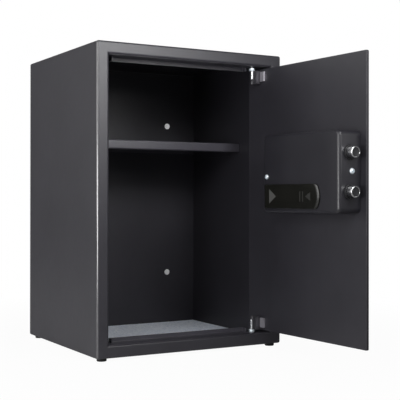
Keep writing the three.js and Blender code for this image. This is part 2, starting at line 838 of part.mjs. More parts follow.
// The coil in its iron frame, standing on the base plate over the carriage's arm.
function solenoid() {
  const low = solenoidTop - solenoidHeight;
  const half = solenoidWidth / 2;
  const v = armV + armThickness / 2;
  const u = [solenoidU - half, solenoidU + half];
  const frameWall = 2;
  const frame = join(
    doorBlock(u, [v - half, v + half], [solenoidTop - frameWall, solenoidTop]),
    doorBlock(u, [v - half, v + half], [low, low + frameWall]),
    doorBlock(u, [v - half, v - half + frameWall], [low, solenoidTop]),
    doorBlock([solenoidU - 4, solenoidU + 4], [plateV[1] + seat, v - half + 1], [low + 4, solenoidTop - 4]),
  );
  const coil = rod("z", half - frameWall - 0.5, [low + 1, solenoidTop - 1], [atU(solenoidU), atV(v)]);
  const bore = rod("z", plungerRadius + runningGap, [low - 1, solenoidTop + 1], [atU(solenoidU), atV(v)]);
  return cut(join(frame, coil), bore);
}

function plunger() {
  const low = knobZ + armWidth / 2 + seat;
  const v = armV + armThickness / 2;
  const high = solenoidTop - plungerTravel - 2;
  return rod("z", plungerRadius, [low, high], [atU(solenoidU), atV(v)]);
}

// The plate that ties the bolts together, with the slotted arm in which the crank pin runs.
function boltCarriage() {
  const barZ = [(boltUpperZ + boltLowerZ - barHeight) / 2, (boltUpperZ + boltLowerZ + barHeight) / 2];
  const barV = [boltV - barDepth[0], boltV + barDepth[1]];
  const bar = doorBlock([barU, barU + barThickness], barV, barZ);
  const armSpan = [armV, armV + armThickness];
  const arm = join(
    doorBlock([knobU - 24, barU - 4], armSpan, [knobZ - armWidth / 2, knobZ + armWidth / 2]),
    doorBlock([barU - 5, barU + 1], armSpan, [knobZ - armNeck / 2, knobZ + armNeck / 2]),
  );
  const half = THREE.MathUtils.degToRad(turnAngle / 2);
  const slotU = knobU - crankRadius * Math.sin(half);
  const slotHalf = crankPin + slotGap;
  const slotZ = [knobZ + crankRadius * Math.cos(half), knobZ + crankRadius];
  const slot = join(
    doorBlock([slotU - slotHalf, slotU + slotHalf], [armV - 1, armV + armThickness + 1], slotZ),
    ...slotZ.map((z) => rodThroughDoor(slotHalf, [armV - 1, armV + armThickness + 1], [slotU, z])),
  );
  const necks = [boltUpperZ, boltLowerZ].map((z) =>
    rodAlongDoor(boltNeck + seat, [barU - 1, barU + barThickness + 1], [boltV, z]),
  );
  return cut(join(bar, arm), slot, ...necks);
}

// A round bolt with a bevelled, dished end, riveted to the carriage by its neck.
function bolt(z) {
  const length = doorWidth + boltPastEdge - (barU + barThickness + seat);
  const neck = barThickness + 2 * seat;
  const headHeight = 1.6;
  const profile = [
    [0, -neck - headHeight],
    [boltNeck + 1.8, -neck - headHeight],
    [boltNeck + 1.8, -neck],
    [boltNeck, -neck],
    [boltNeck, 0],
    [boltRadius, 0],
    [boltRadius, length - 1.5],
    [boltRadius - 0.45, length - 0.45],
    [boltRadius - 1.5, length],
    [boltDish + 0.5, length],
    [boltDish, length - 0.7],
    [boltDish - 1.6, length - 2.2],
    [0, length - 2.8],
  ];
  const x = atU(barU + barThickness + seat);
  return turned(profile, [0, 0], 28).rotate([0, -90, 0]).translate([x, atV(boltV), z]);
}

// The knob's fluted head over a plain skirt, bored from behind for the spindle.
function knob() {
  const back = fasciaFront - seat;
  const tip = -doorThickness - knobHeight;
  const ring = (v, radius, flute) => ({
    at: atV(v),
    points: Array.from({ length: 4 * knobFlutes }, (_, i) => {
      const angle = (2 * Math.PI * i) / (4 * knobFlutes);
      const r = radius - flute * (0.5 - 0.5 * Math.cos(knobFlutes * angle));
      return [atU(knobU) + r * Math.cos(angle), knobZ + r * Math.sin(angle)];
    }),
  });
  const neck = knobRadius - 4;
  const body = skin("y", [
    ring(tip, knobRadius - 2.6, 0.6),
    ring(tip + 0.6, knobRadius - 1, 1),
    ring(tip + 2.2, knobRadius, 1.4),
    ring(tip + 13, knobRadius, 1.4),
    ring(tip + 15.5, neck, 0),
    ring(back - 2.5, neck + 1, 0),
    ring(back - 1.5, knobRadius - 1, 0),
    ring(back, knobRadius - 1, 0),
  ]);
  return cut(body, rodThroughDoor(spindleRadius + seat, [tip + 10, back + 1], [knobU, knobZ]));
}

// The spindle through the door, with the crank inside the lock case.
function spindleCrank() {
  const half = THREE.MathUtils.degToRad(turnAngle / 2);
  const pinAt = [knobU - crankRadius * Math.sin(half), knobZ + crankRadius * Math.cos(half)];
  const shaftEnd = -doorThickness - knobHeight + 10 + seat;
  const crankSpan = [crankV, crankV + crankThickness];
  const armHalf = crankPin + 1.2;
  const across = [Math.cos(half) * armHalf, Math.sin(half) * armHalf];
  const web = prism(
    "y",
    [
      [atU(knobU) + across[0], knobZ - across[1]],
      [atU(pinAt[0]) + across[0], pinAt[1] - across[1]],
      [atU(pinAt[0]) - across[0], pinAt[1] + across[1]],
      [atU(knobU) - across[0], knobZ + across[1]],
    ],
    rangeV(crankSpan),
  );
  return join(
    rodThroughDoor(spindleRadius, [shaftEnd, crankSpan[1]], [knobU, knobZ]),
    rodThroughDoor(spindleRadius + 2.5, crankSpan, [knobU, knobZ]),
    rodThroughDoor(armHalf, crankSpan, pinAt),
    web,
    rodThroughDoor(crankPin, [crankV, armV + armThickness + 2], pinAt),
  );
}

// The sliding battery cover: a raised plate with a sloped round end, an arrow, two bars and four hooks.
function batteryCover() {
  const steps = 8;
  const low = caseDepth + seat;
  const outline = (end, bulge) => {
    const round = Array.from({ length: steps + 1 }, (_, i) => {
      const t = (2 * i) / steps - 1;
      const z = (coverZ[1] + coverZ[0]) / 2 + (t * (coverZ[1] - coverZ[0])) / 2;
      return [atU(end + bulge * (1 - t * t)), z];
    });
    return [...round.reverse(), [atU(coverStart), coverZ[0]], [atU(coverStart), coverZ[1]]];
  };
  const plate = skin("y", [
    { at: atV(low), points: outline(coverEnd, coverBulge) },
    { at: atV(low + coverHeight), points: outline(coverEnd - coverSlope, 0.4) },
  ]);
  const top = low + coverHeight;
  const relief = [top - 0.2, top + reliefHeight];
  const triangle = (base, tip, half) =>
    prism(
      "y",
      [
        [atU(base), cellsZ - half],
        [atU(tip), cellsZ],
        [atU(base), cellsZ + half],
      ],
      rangeV(relief),
    );
  const bars = [201, 207.5].map((u) => doorBlock([u, u + 1.8], relief, [cellsZ - 8, cellsZ + 8]));
  const hookV = [trayRimV + 0.5, caseDepth - caseWall - seat];
  const railGap = runningGap;
  const railWall = 1.5;
  const sides = [
    [bayZ[0] + railGap, bayZ[0] + railGap + railWall, bayZ[0] - hookReach],
    [bayZ[1] - railGap, bayZ[1] - railGap - railWall, bayZ[1] + hookReach],
  ];
  const rails = sides.flatMap(([outer, inner, reach]) => {
    const span = [outer, inner].sort((a, b) => a - b);
    const hookZ = [reach, inner].sort((a, b) => a - b);
    return [
      doorBlock(railU, [hookV[0], low + 1], span),
      ...hookStarts.map((start) => doorBlock(hooks(start), hookV, hookZ)),
    ];
  });
  return join(plate, triangle(122.8, 139.8, 11.4), triangle(227, 214.6, 6.5), ...bars, ...rails);
}

function resetButton() {
  const inside = caseStart + caseWall + seat;
  return join(
    rodAlongDoor(resetRadius, [caseStart - resetProud, inside + 1], resetPlace),
    rodAlongDoor(resetRadius + 1.5, [inside, inside + 1.6], resetPlace),
  );
}

const keyColumns = [keyMiddleU + keyPitchU, keyMiddleU, keyMiddleU - keyPitchU];
const keyNames = ["1", "2", "3", "4", "5", "6", "7", "8", "9", "star", "0", "hash"];
const keyPlace = (index) => [keyColumns[index % 3], keyRowTop - keyPitchZ * Math.floor(index / 3)];
const ledSpan = [
  [keyMiddleU - ledWindow[0] / 2, keyMiddleU + ledWindow[0] / 2],
  [ledZ - ledWindow[1] / 2, ledZ + ledWindow[1] / 2],
];

// The moulded front: wells for the keys and the light window, and holes for the knob and the key lock.
function keypadFascia() {
  const body = softBlock(
    "y",
    rangeU([fasciaStart, fasciaEnd]),
    [fasciaBottom, fasciaTop],
    fasciaCorner,
    rims(atV(fasciaFront), atV(fasciaBack), fasciaRim, 0),
  );
  const wellFloor = fasciaFront + keyDepth + keyTravel + seat;
  const wells = keyNames.map((_, index) => {
    const [u, z] = keyPlace(index);
    const half = keyWidth / 2 + keyGap;
    const rise = keyHeight / 2 + keyGap;
    return doorBlock([u - half, u + half], [fasciaFront - 1, wellFloor], [z - rise, z + rise]);
  });
  const window = doorBlock(
    [ledSpan[0][0] - seat, ledSpan[0][1] + seat],
    [fasciaFront - 1, fasciaFront + 3],
    [ledSpan[1][0] - seat, ledSpan[1][1] + seat],
  );
  const through = [fasciaFront - 1, fasciaBack + 1];
  return cut(
    body,
    ...wells,
    window,
    rodThroughDoor(spindleRadius + runningGap, through, [knobU, knobZ]),
    rodThroughDoor(keyLockRadius + runningGap, through, [keyLockU, keyLockZ]),
    rodThroughDoor(rivetRadius + runningGap, through, [keyLockU, keyLockZ + coverPivotRise]),
  );
}

function lightWindow() {
  return doorBlock(ledSpan[0], [fasciaFront - 0.4, fasciaFront + 3 - seat], ledSpan[1]);
}

function keyCap(index) {
  const [u, z] = keyPlace(index);
  return softBlock(
    "y",
    rangeU([u - keyWidth / 2, u + keyWidth / 2]),
    [z - keyHeight / 2, z + keyHeight / 2],
    2.2,
    rims(atV(fasciaFront - keyProud), atV(fasciaFront + keyDepth), 1, 0),
  );
}

// The emergency key lock, with its keyway in front and a tail inside the door.
function keyLock() {
  const frontV = fasciaFront + 0.5;
  const tailV = [plateV[1] + seat, plateV[1] + seat + 3];
  const keywayHalf = [1, 4.5];
  const keyway = doorBlock(
    [keyLockU - keywayHalf[0], keyLockU + keywayHalf[0]],
    [frontV - 1, frontV + 6],
    [keyLockZ - keywayHalf[1], keyLockZ + keywayHalf[1]],
  );
  const tail = doorBlock([keyLockU - 3.5, keyLockU + 3.5], tailV, [keyLockZ - keyLockTail, keyLockZ]);
  const barrel = rodThroughDoor(keyLockRadius, [frontV, tailV[1]], [keyLockU, keyLockZ], 28);
  return cut(join(barrel, tail), keyway);
}

// The round cover that hangs over the key lock on a rivet.
function keyLockCover() {
  const v = [fasciaFront - seat - coverDiscThickness, fasciaFront - seat];
  const pivot = [keyLockU, keyLockZ + coverPivotRise];
  const half = 5;
  return join(
    rodThroughDoor(coverDiscRadius, v, [keyLockU, keyLockZ], 32),
    doorBlock([keyLockU - half, keyLockU + half], v, [keyLockZ, pivot[1]]),
    rodThroughDoor(half, v, pivot),
    rodThroughDoor(rivetRadius, [v[0] - 0.8, fasciaBack - 1.5], pivot, 20),
  );
}

// The whole safe
const safe = new THREE.Group();
addMesh(safe, "cabinet_shell", cabinetShell(), paint);
addMesh(safe, "back_panel", backPanel(), paint);
addMesh(safe, "frame_channel_top", frameChannel(true), paint);
addMesh(safe, "frame_channel_bottom", frameChannel(false), paint);
addMesh(safe, "strike_return", strikeReturn(), paint);
addMesh(safe, "shelf", shelf(), paint);
addMesh(safe, "shelf_rail_left", shelfRail(-1), paint);
addMesh(safe, "shelf_rail_right", shelfRail(1), paint);
addMesh(safe, "floor_mat", floorMat(), felt);
addMesh(safe, "hinge_washer_bottom", hingeWasher(lowerWasherLow, [axisX, axisY]), zinc);
const sideNames = ["left", "right"];
const depthNames = ["front", "rear"];
const levelNames = ["lower", "upper"];
sideNames.forEach((side, i) => {
  depthNames.forEach((depth, j) => addMesh(safe, `foot_${depth}_${side}`, foot(footX[i], footY[j]), rubber));
  levelNames.forEach((level, j) =>
    addMesh(safe, `anchor_plug_${level}_${side}`, anchorPlug(anchorX[i], anchorZ[j]), greyPlastic),
  );
});

const door = new THREE.Group();
door.position.set(axisX, axisY, 0);
door.rotation.z = THREE.MathUtils.degToRad(openAngle);
safe.add(door);
addMesh(door, "door_panel", doorPanel(), paint);
addMesh(door, "hinge_bracket_top", hingeBracket(upperBracketLow), zinc);
addMesh(door, "hinge_bracket_bottom", hingeBracket(lowerBracketLow), zinc);
addMesh(door, "hinge_washer_top", hingeWasher(upperWasherLow, [0, 0]), zinc);
addMesh(door, "hinge_pin_top", hingePin(true), zinc);
addMesh(door, "hinge_pin_bottom", hingePin(false), zinc);
addMesh(door, "lock_base_plate", lockBasePlate(), steel);
addMesh(door, "lock_case", lockCase(), plastic);
addMesh(door, "bolt_guide", boltGuide(), steel);
addMesh(door, "case_screw_side", sideScrewBody(), zinc);
addMesh(door, "case_screw_front", frontScrewBody(), zinc);
addMesh(door, "battery_tray", batteryTray(), plastic);
levelNames.forEach((level, row) => {
  addMesh(door, `battery_cell_${level}_1`, cell(0, row), cellSkin);
  addMesh(door, `battery_cell_${level}_2`, cell(1, row), cellSkin);
});
addMesh(door, "circuit_board", circuitBoard(), boardGreen);
addMesh(door, "solenoid", solenoid(), steel);
addMesh(door, "keypad_fascia", keypadFascia(), plastic);
addMesh(door, "light_window", lightWindow(), smoke);

addMesh(door, "bolt_carriage", boltCarriage(), steel);
addMesh(door, "bolt_upper", bolt(boltUpperZ), chrome);
addMesh(door, "bolt_lower", bolt(boltLowerZ), chrome);
addMesh(door, "knob", knob(), plastic);
addMesh(door, "spindle_crank", spindleCrank(), steel);
addMesh(door, "battery_cover", batteryCover(), glossBlack);
addMesh(door, "solenoid_plunger", plunger(), steel);
addMesh(door, "reset_button", resetButton(), redPlastic);
addMesh(door, "key_lock", keyLock(), brass);
addMesh(door, "key_lock_cover", keyLockCover(), plastic);
keyNames.forEach((name, index) => addMesh(door, `key_${name}`, keyCap(index), greyPlastic));

export default safe;
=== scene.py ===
import json
import math

import bmesh
import bpy
from mathutils import Matrix, Vector, noise


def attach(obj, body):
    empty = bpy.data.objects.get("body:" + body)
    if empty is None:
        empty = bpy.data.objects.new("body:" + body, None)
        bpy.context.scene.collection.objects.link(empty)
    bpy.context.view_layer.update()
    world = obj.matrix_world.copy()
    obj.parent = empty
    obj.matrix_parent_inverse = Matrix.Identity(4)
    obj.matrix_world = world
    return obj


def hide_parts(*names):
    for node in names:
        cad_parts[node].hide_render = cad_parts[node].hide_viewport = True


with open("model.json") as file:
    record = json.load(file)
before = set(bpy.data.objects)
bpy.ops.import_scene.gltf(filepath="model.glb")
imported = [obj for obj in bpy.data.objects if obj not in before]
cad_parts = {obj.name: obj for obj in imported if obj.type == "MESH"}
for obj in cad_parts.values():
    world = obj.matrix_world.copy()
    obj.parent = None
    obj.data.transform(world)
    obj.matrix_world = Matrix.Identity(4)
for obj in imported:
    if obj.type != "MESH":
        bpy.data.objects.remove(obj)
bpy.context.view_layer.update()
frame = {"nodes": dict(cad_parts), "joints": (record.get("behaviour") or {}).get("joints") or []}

MM = 0.001
X, Y, Z = range(3)
HINGE = next(joint for joint in frame["joints"] if joint["name"] == "door_hinge")
OPEN_ANGLE = math.radians(-min(HINGE["range_deg"]))
HINGE_AXIS = Vector((HINGE["pos_m"][X], HINGE["pos_m"][Y], 0))
STILL = Matrix.Identity(4)
DOOR = Matrix.Translation(HINGE_AXIS) @ Matrix.Rotation(OPEN_ANGLE, 4, "Z")
TO_BACK = Matrix.Rotation(math.radians(-90), 4, "X")  # turns +Z to +Y
TO_FRONT = Matrix.Rotation(math.radians(90), 4, "X")  # turns +Z to -Y
TO_LEFT = Matrix.Rotation(math.radians(-90), 4, "Y")  # turns +Z to -X
TO_RIGHT = Matrix.Rotation(math.radians(90), 4, "Y")  # turns +Z to +X


# Materials


class Wire:
    """One socket of a material's node tree. Arithmetic on wires adds Math nodes."""

    def __init__(self, tree, socket=None):
        self.tree = tree
        self.socket = socket

    def node(self, kind, inputs=None, settings=None, stops=(), output=0):
        """Adds a node, makes its settings, then sets or links its sockets, and returns one output."""
        made = self.tree.nodes.new("ShaderNode" + kind)
        for name, value in (settings or {}).items():
            setattr(made, name, value)
        if stops:
            ramp = made.color_ramp.elements
            while len(ramp) < len(stops):
                ramp.new(0.5)
            for element, (place, shade) in zip(ramp, stops):
                element.position = place
                element.color = (*shade, 1) if isinstance(shade, tuple) else (shade, shade, shade, 1)
        for name, value in (inputs or {}).items():
            if isinstance(value, Wire):
                self.tree.links.new(value.socket, made.inputs[name])
            else:
                made.inputs[name].default_value = value
        return Wire(self.tree, made.outputs[output])

    def math(self, operation, first, second=0.0):
        return self.node("Math", {0: first, 1: second}, {"operation": operation})

    def __add__(self, other):
        return self.math("ADD", self, other)

    def __radd__(self, other):
        return self.math("ADD", other, self)

    def __mul__(self, other):
        return self.math("MULTIPLY", self, other)

    def __rmul__(self, other):
        return self.math("MULTIPLY", other, self)

    def above(self, limit):
        return self.math("GREATER_THAN", self, limit)

    def below(self, limit):
        return self.math("LESS_THAN", self, limit)

    def mix(self, first, second):
        """The first colour where this wire is 0 and the second where it is 1."""
        inputs = {0: self, 6: opaque(first), 7: opaque(second)}
        return self.node("Mix", inputs, {"data_type": "RGBA"}, output=2)

    def place(self):
        """The piece's own coordinates, in metres."""
        return self.node("TexCoord", output="Object")

    def grain(self, scale, detail=2.0, roughness=0.5, stretch=(1, 1, 1)):
        """Noise on the piece's own coordinates, about 0.5 on average, with so many waves to the metre."""
        place = self.node("Mapping", {"Vector": self.place(), "Scale": stretch})
        inputs = {"Vector": place, "Scale": scale, "Detail": detail, "Roughness": roughness}
        return self.node("TexNoise", inputs)

    def axis(self, index):
        """One of the piece's own coordinates, in metres."""
        return self.node("SeparateXYZ", {0: self.place()}, output=index)

    def bump(self, height, depth, strength=1.0):
        return self.node("Bump", {"Height": height, "Distance": depth, "Strength": strength})


def opaque(colour):
    """A colour with full alpha; anything that isn't a colour stays as it is."""
    return (*colour, 1) if isinstance(colour, tuple) else colour


def node_in(tree, kind):
    """The node of a kind that a new material or world starts with."""
    return next(node for node in tree.nodes if node.type == kind)


def finish(name, recipe, **settings):
    """A Principled material. The settings are constants; the recipe returns what varies over the surface."""
    material = bpy.data.materials.new(name)
    material.use_nodes = True
    tree = material.node_tree
    shader = node_in(tree, "BSDF_PRINCIPLED")
    for socket, value in settings.items():
        shader.inputs[socket.replace("_", " ")].default_value = opaque(value)
    for socket, value in recipe(Wire(tree)).items():
        if isinstance(value, Wire):
            tree.links.new(value.socket, shader.inputs[socket])
        else:
            shader.inputs[socket].default_value = opaque(value)
    return material


# Where a finish changes on a piece, in the part's own coordinates
STRETCHED_X = 170.3 * MM  # the cabinet's two upright front bends lie beyond these two
STRETCHED_Y = -151.6 * MM
BRACKET_FOOT_Y = -148.8 * MM  # the hinge brackets' feet lie in front of this
PALE_ARROW_Y = -260 * MM  # the battery lid's large arrow lies behind this
UPPER_Z = 250 * MM  # between the lower and the upper anchor plugs


def powder_coat(wire, lightness=1.0):
    """Dark paint, glossier on the cabinet's two upright front bends, where the sheet was stretched."""
    fine = wire.grain(2600, detail=3)
    cloudy = wire.grain(14, detail=2)
    mottle = wire.grain(130, detail=4, roughness=0.65, stretch=(1, 1, 0.55))
    side = wire.math("ABSOLUTE", wire.axis(X)).above(STRETCHED_X)
    front = wire.axis(Y).below(STRETCHED_Y)
    # A lightness above 1 paints light into both colours
    dark = tuple(lightness * part for part in (0.0195, 0.0186, 0.0232))
    light = tuple(lightness * part for part in (0.0375, 0.0358, 0.0442))
    return {
        "Base Color": (0.6 * cloudy + 0.4 * mottle).mix(dark, light),
        "Coat Weight": side * front,
        "Roughness": 0.29 + 0.08 * fine + 0.12 * mottle,
        "Normal": wire.bump(fine, 0.03 * MM, 0.4),
    }


def painted_light_coat(wire):
    """The same paint with painted light: lighter on the shelf and on the returns above and below the opening,
    standing in for the light that falls on them.
    """
    return powder_coat(wire, lightness=1.9)


def moulded_plastic(wire):
    fine = wire.grain(3400, detail=2)
    cloudy = wire.grain(30)
    return {
        "Base Color": cloudy.mix((0.0158, 0.0152, 0.0196), (0.0215, 0.0205, 0.0262)),
        "Roughness": 0.3 + 0.1 * fine + 0.06 * cloudy,
        "Normal": wire.bump(fine, 0.02 * MM, 0.6),
    }


def polished_plastic(wire):
    smears = wire.grain(60, detail=4, stretch=(1, 0.4, 1))
    fine = wire.grain(900)
    return {
        "Base Color": smears.mix((0.0075, 0.0075, 0.0065), (0.0115, 0.0115, 0.0095)),
        "Roughness": 0.14 + 0.16 * smears,
        "Normal": wire.bump(fine, 0.01 * MM, 0.3),
    }


def relief_plastic(wire):
    """The raised signs on the battery lid. The large arrow is pale, the others are dark."""
    fine = wire.grain(2500)
    pale_arrow = wire.axis(Y).above(PALE_ARROW_Y)
    return {
        "Base Color": (0.25 * fine + 0.75 * pale_arrow).mix((0.012, 0.012, 0.0105), (0.085, 0.085, 0.082)),
        "Roughness": 0.4 + 0.15 * fine,
        "Normal": wire.bump(fine, 0.02 * MM, 0.6),
    }


def zinc_plate(wire):
    brushed = wire.grain(900, detail=3, stretch=(1, 1, 0.15))
    spangle = wire.grain(160, detail=2)
    return {
        "Base Color": spangle.mix((0.62, 0.635, 0.66), (0.70, 0.71, 0.73)),
        "Roughness": 0.2 + 0.08 * brushed,
        "Normal": wire.bump(brushed, 0.01 * MM, 0.06),
    }


def hinge_steel(wire):
    """Steel, dark on the bracket but for its foot on the door, which is pale and metallic."""
    brushed = wire.grain(900, detail=3, stretch=(1, 1, 0.15))
    on_foot = wire.axis(Y).below(BRACKET_FOOT_Y)
    return {
        "Base Color": on_foot.mix((0.05, 0.048, 0.056), (0.72, 0.70, 0.76)),
        "Metallic": 0.15 + 0.8 * on_foot,
        "Roughness": 0.3 + 0.18 * on_foot + 0.1 * brushed,
        "Normal": wire.bump(brushed, 0.01 * MM, 0.1),
    }


def bright_chrome(wire):
    scratches = wire.grain(1400, detail=4, stretch=(0.2, 0.2, 1))
    haze = wire.grain(90)
    return {
        "Base Color": haze.mix((0.70, 0.71, 0.72), (0.80, 0.80, 0.81)),
        "Roughness": 0.05 + 0.1 * scratches + 0.04 * haze,
    }


def needle_felt(wire):
    fibres = wire.grain(420, detail=6, roughness=0.75, stretch=(1, 0.35, 1))
    crossing = wire.grain(370, detail=6, roughness=0.75, stretch=(0.35, 1, 1))
    tufts = wire.grain(170, detail=3)
    speck = 0.6 * fibres + 0.4 * crossing
    stops = [(0.40, (0.34, 0.38, 0.50)), (0.56, (1.0, 1.0, 1.0))]
    return {
        "Base Color": wire.node("ValToRGB", {0: speck}, stops=stops),
        "Roughness": 0.9 + 0.08 * tufts,
        "Normal": wire.bump(speck + 0.6 * tufts, 0.9 * MM, 0.9),
    }


def pale_plastic(wire):
    """Pale plugs. The upper ones glow with painted light, an emission that stands in for the bright room
    behind the cabinet.
    """
    fine = wire.grain(1600)
    upper = wire.axis(Z).above(UPPER_Z)
    return {
        # Painted light: the upper plugs glow
        "Emission Color": (upper * (0.2 + 0.12 * fine)).mix((0, 0, 0), (1, 1, 1)),
        "Base Color": fine.mix((0.80, 0.80, 0.81), (0.88, 0.88, 0.89)),
        "Roughness": 0.42 + 0.12 * fine,
        "Normal": wire.bump(fine, 0.01 * MM, 0.4),
    }


def turned_brass(wire):
    rings = wire.grain(2400, detail=2, stretch=(0.3, 1, 1))
    return {
        "Base Color": rings.mix((0.55, 0.42, 0.18), (0.68, 0.54, 0.26)),
        "Roughness": 0.22 + 0.15 * rings,
        "Normal": wire.bump(rings, 0.01 * MM, 0.4),
    }


def lacquered_board(wire):
    tracks = wire.grain(420, detail=1, stretch=(1, 1, 0.2)).above(0.55)
    fine = wire.grain(1500)
    return {
        "Base Color": tracks.mix((0.012, 0.09, 0.035), (0.03, 0.17, 0.07)),
        "Roughness": 0.25 + 0.15 * fine,
        "Normal": wire.bump(tracks, 0.03 * MM, 0.5),
    }


def cell_sleeve(wire):
    fine = wire.grain(1200)
    return {
        "Base Color": fine.mix((0.05, 0.05, 0.055), (0.08, 0.08, 0.085)),
        "Roughness": 0.25 + 0.1 * fine,
        "Metallic": 0.5 + 0.2 * fine,
    }


def even(scale, dark, light, roughness, raised=None, detail=2.0):
    """A recipe for a fine even grain: two colours, least and added roughness, depth and strength of bumps."""

    def recipe(wire):
        fine = wire.grain(scale, detail)
        values = {"Base Color": fine.mix(dark, light), "Roughness": roughness[0] + roughness[1] * fine}
        if raised:
            values["Normal"] = wire.bump(fine, *raised)
        return values

    return recipe


PAINT = finish("powder coat", powder_coat, Coat_Roughness=0.16, Coat_IOR=2.0)
# A lit copy of the paint: its lighter colour is painted light
PAINTED_LIGHT_COAT = finish("powder coat with painted light", painted_light_coat, Specular_IOR_Level=0.6)
CASE = finish(
    "moulded plastic",
    moulded_plastic,
    Specular_IOR_Level=0.3,
    Coat_Weight=0.5,
    Coat_Roughness=0.3,
    Coat_IOR=1.6,
)
LID = finish("polished plastic", polished_plastic)
RELIEF = finish("relief plastic", relief_plastic, Specular_IOR_Level=0.4)
ZINC = finish("zinc plate", zinc_plate, Metallic=1.0)
BRACKET = finish("hinge steel", hinge_steel)
SCREW = finish(
    "screw plate", even(1500, (0.80, 0.89, 0.95), (0.88, 0.95, 1.0), (0.34, 0.1)), Metallic=0.6
)
CHROME = finish("bright chrome", bright_chrome, Metallic=1.0)
BLACK = finish(
    "blackened steel",
    even(1800, (0.018, 0.018, 0.02), (0.035, 0.035, 0.038), (0.3, 0.2), (0.02 * MM, 0.4), detail=3),
    Specular_IOR_Level=0.25,
)
FELT = finish(
    "needle felt",
    needle_felt,
    Specular_IOR_Level=0.1,
    Sheen_Weight=1.0,
    Sheen_Roughness=0.5,
    Sheen_Tint=(0.8, 0.88, 1.0),
)
RUBBER = finish(
    "soft rubber",
    even(1500, (0.012, 0.012, 0.012), (0.022, 0.022, 0.022), (0.7, 0.2), (0.03 * MM, 0.5), detail=3),
    Specular_IOR_Level=0.3,
)
# The upper plugs glow with painted light
PLUG = finish("pale plastic", pale_plastic, Emission_Strength=1.0)
KEYS = finish(
    "key plastic", even(2200, (0.30, 0.305, 0.315), (0.36, 0.365, 0.375), (0.36, 0.14), (0.02 * MM, 0.5))
)
PRINT = finish("dark print", even(2200, (0.012, 0.012, 0.013), (0.02, 0.02, 0.021), (0.5, 0.1)))
MARK = finish("pale print", even(2200, (0.62, 0.62, 0.62), (0.7, 0.7, 0.7), (0.45, 0.1)))
BRASS = finish("turned brass", turned_brass, Metallic=1.0)
BOARD = finish("lacquered board", lacquered_board)
CELL = finish("cell sleeve", cell_sleeve)
WINDOW = finish(
    "tinted window", even(800, (0.03, 0.006, 0.006), (0.05, 0.01, 0.01), (0.08, 0.06)), Coat_Weight=0.5
)
RED = finish(
    "red plastic", even(1600, (0.20, 0.012, 0.012), (0.26, 0.02, 0.018), (0.35, 0.1), (0.01 * MM, 0.4))
)


# Modelling

SAME_LEVEL = 0.01 * MM
MERGE_DISTANCE = 0.001 * MM


def extent(node, place=STILL):
    """Lowest and highest corner of a CAD node, in the axes of a place."""
    back = place.inverted()
    points = [back @ vertex.co for vertex in frame["nodes"][node].data.vertices]
    return (
        Vector([min(point[axis] for point in points) for axis in range(3)]),
        Vector([max(point[axis] for point in points) for axis in range(3)]),
    )


def middle_of(node, place=STILL):
    low, high = extent(node, place)
    return (low + high) / 2


def pick(*pieces):
    """Selects these pieces alone and makes the first one active."""
    bpy.ops.object.select_all(action="DESELECT")
    for piece in pieces:
        piece.select_set(True)
    bpy.context.view_layer.objects.active = pieces[0]


def take_new(name):
    """Names the piece that an operator has just made, and applies its place to the mesh."""
    piece = bpy.context.object
    piece.name = piece.data.name = name
    bpy.ops.object.transform_apply(location=True, rotation=True, scale=True)
    return piece


def settle(piece, place):
    """Moves a piece to a place and applies that to the mesh."""
    pick(piece)
    piece.matrix_world = place @ piece.matrix_world
    bpy.ops.object.transform_apply(location=True, rotation=True, scale=True)
    return piece


def outward(piece):
    """Turns all of a piece's faces outwards."""
    pick(piece)
    bpy.ops.object.mode_set(mode="EDIT")
    bpy.ops.mesh.select_all(action="SELECT")
    bpy.ops.mesh.normals_make_consistent(inside=False)
    bpy.ops.object.mode_set(mode="OBJECT")
    return piece


def block(name, low, high):
    """A cube between two corners."""
    low, high = Vector(low), Vector(high)
    bpy.ops.object.select_all(action="DESELECT")
    bpy.ops.mesh.primitive_cube_add(size=1, location=(low + high) / 2, scale=high - low)
    return take_new(name)


def turned(name, rings, place, segments=48):
    """A disc grown ring by ring: rings are (radius, height) pairs along +Z of the place."""
    bpy.ops.object.select_all(action="DESELECT")
    radius, height = rings[0]
    bpy.ops.mesh.primitive_circle_add(
        vertices=segments, radius=radius, fill_type="NGON", location=(0, 0, height)
    )
    bpy.ops.object.mode_set(mode="EDIT")
    bpy.ops.mesh.select_all(action="SELECT")
    for new_radius, new_height in rings[1:]:
        rise = (0, 0, new_height - height)
        bpy.ops.mesh.extrude_region_move(TRANSFORM_OT_translate={"value": rise})
        growth = new_radius / radius
        bpy.ops.transform.resize(value=(growth, growth, 1), center_override=(0, 0, new_height))
        radius, height = new_radius, new_height
    bpy.ops.object.mode_set(mode="OBJECT")
    piece = outward(bpy.context.object)
    piece.matrix_world = place @ piece.matrix_world
    return take_new(name)


def softened(radius, height, edge):
    """The rings of a short bar whose two ends are softened."""
    steps = [(edge, 0), (0.3 * edge, 0.3 * edge), (0, edge)]
    lower = [(radius - less, up) for less, up in steps]
    return lower + [(radius - less, height - up) for less, up in reversed(steps)]


def rod(name, radius, place, length, segments=32):
    """A plain round bar, mostly used as a cutter, from the place along its +Z."""
    return turned(name, [(radius, 0), (radius, length)], place, segments)


def choose(kind, test):
    """In edit mode, selects the faces or edges that pass a test."""
    bpy.ops.mesh.select_mode(type=kind)
    bpy.ops.mesh.select_all(action="DESELECT")
    mesh = bmesh.from_edit_mesh(bpy.context.object.data)
    for part in mesh.faces if kind == "FACE" else mesh.edges:
        part.select_set(bool(test(part)))
    mesh.select_flush_mode()
    bmesh.update_edit_mesh(bpy.context.object.data)


def round_off(piece, test, radius, segments):
    """Bevels the edges that pass a test."""
    pick(piece)
    bpy.ops.object.mode_set(mode="EDIT")
    choose("EDGE", test)
    bpy.ops.mesh.bevel(offset=radius, segments=segments, affect="EDGES", clamp_overlap=False)
    bpy.ops.object.mode_set(mode="OBJECT")
    return piece


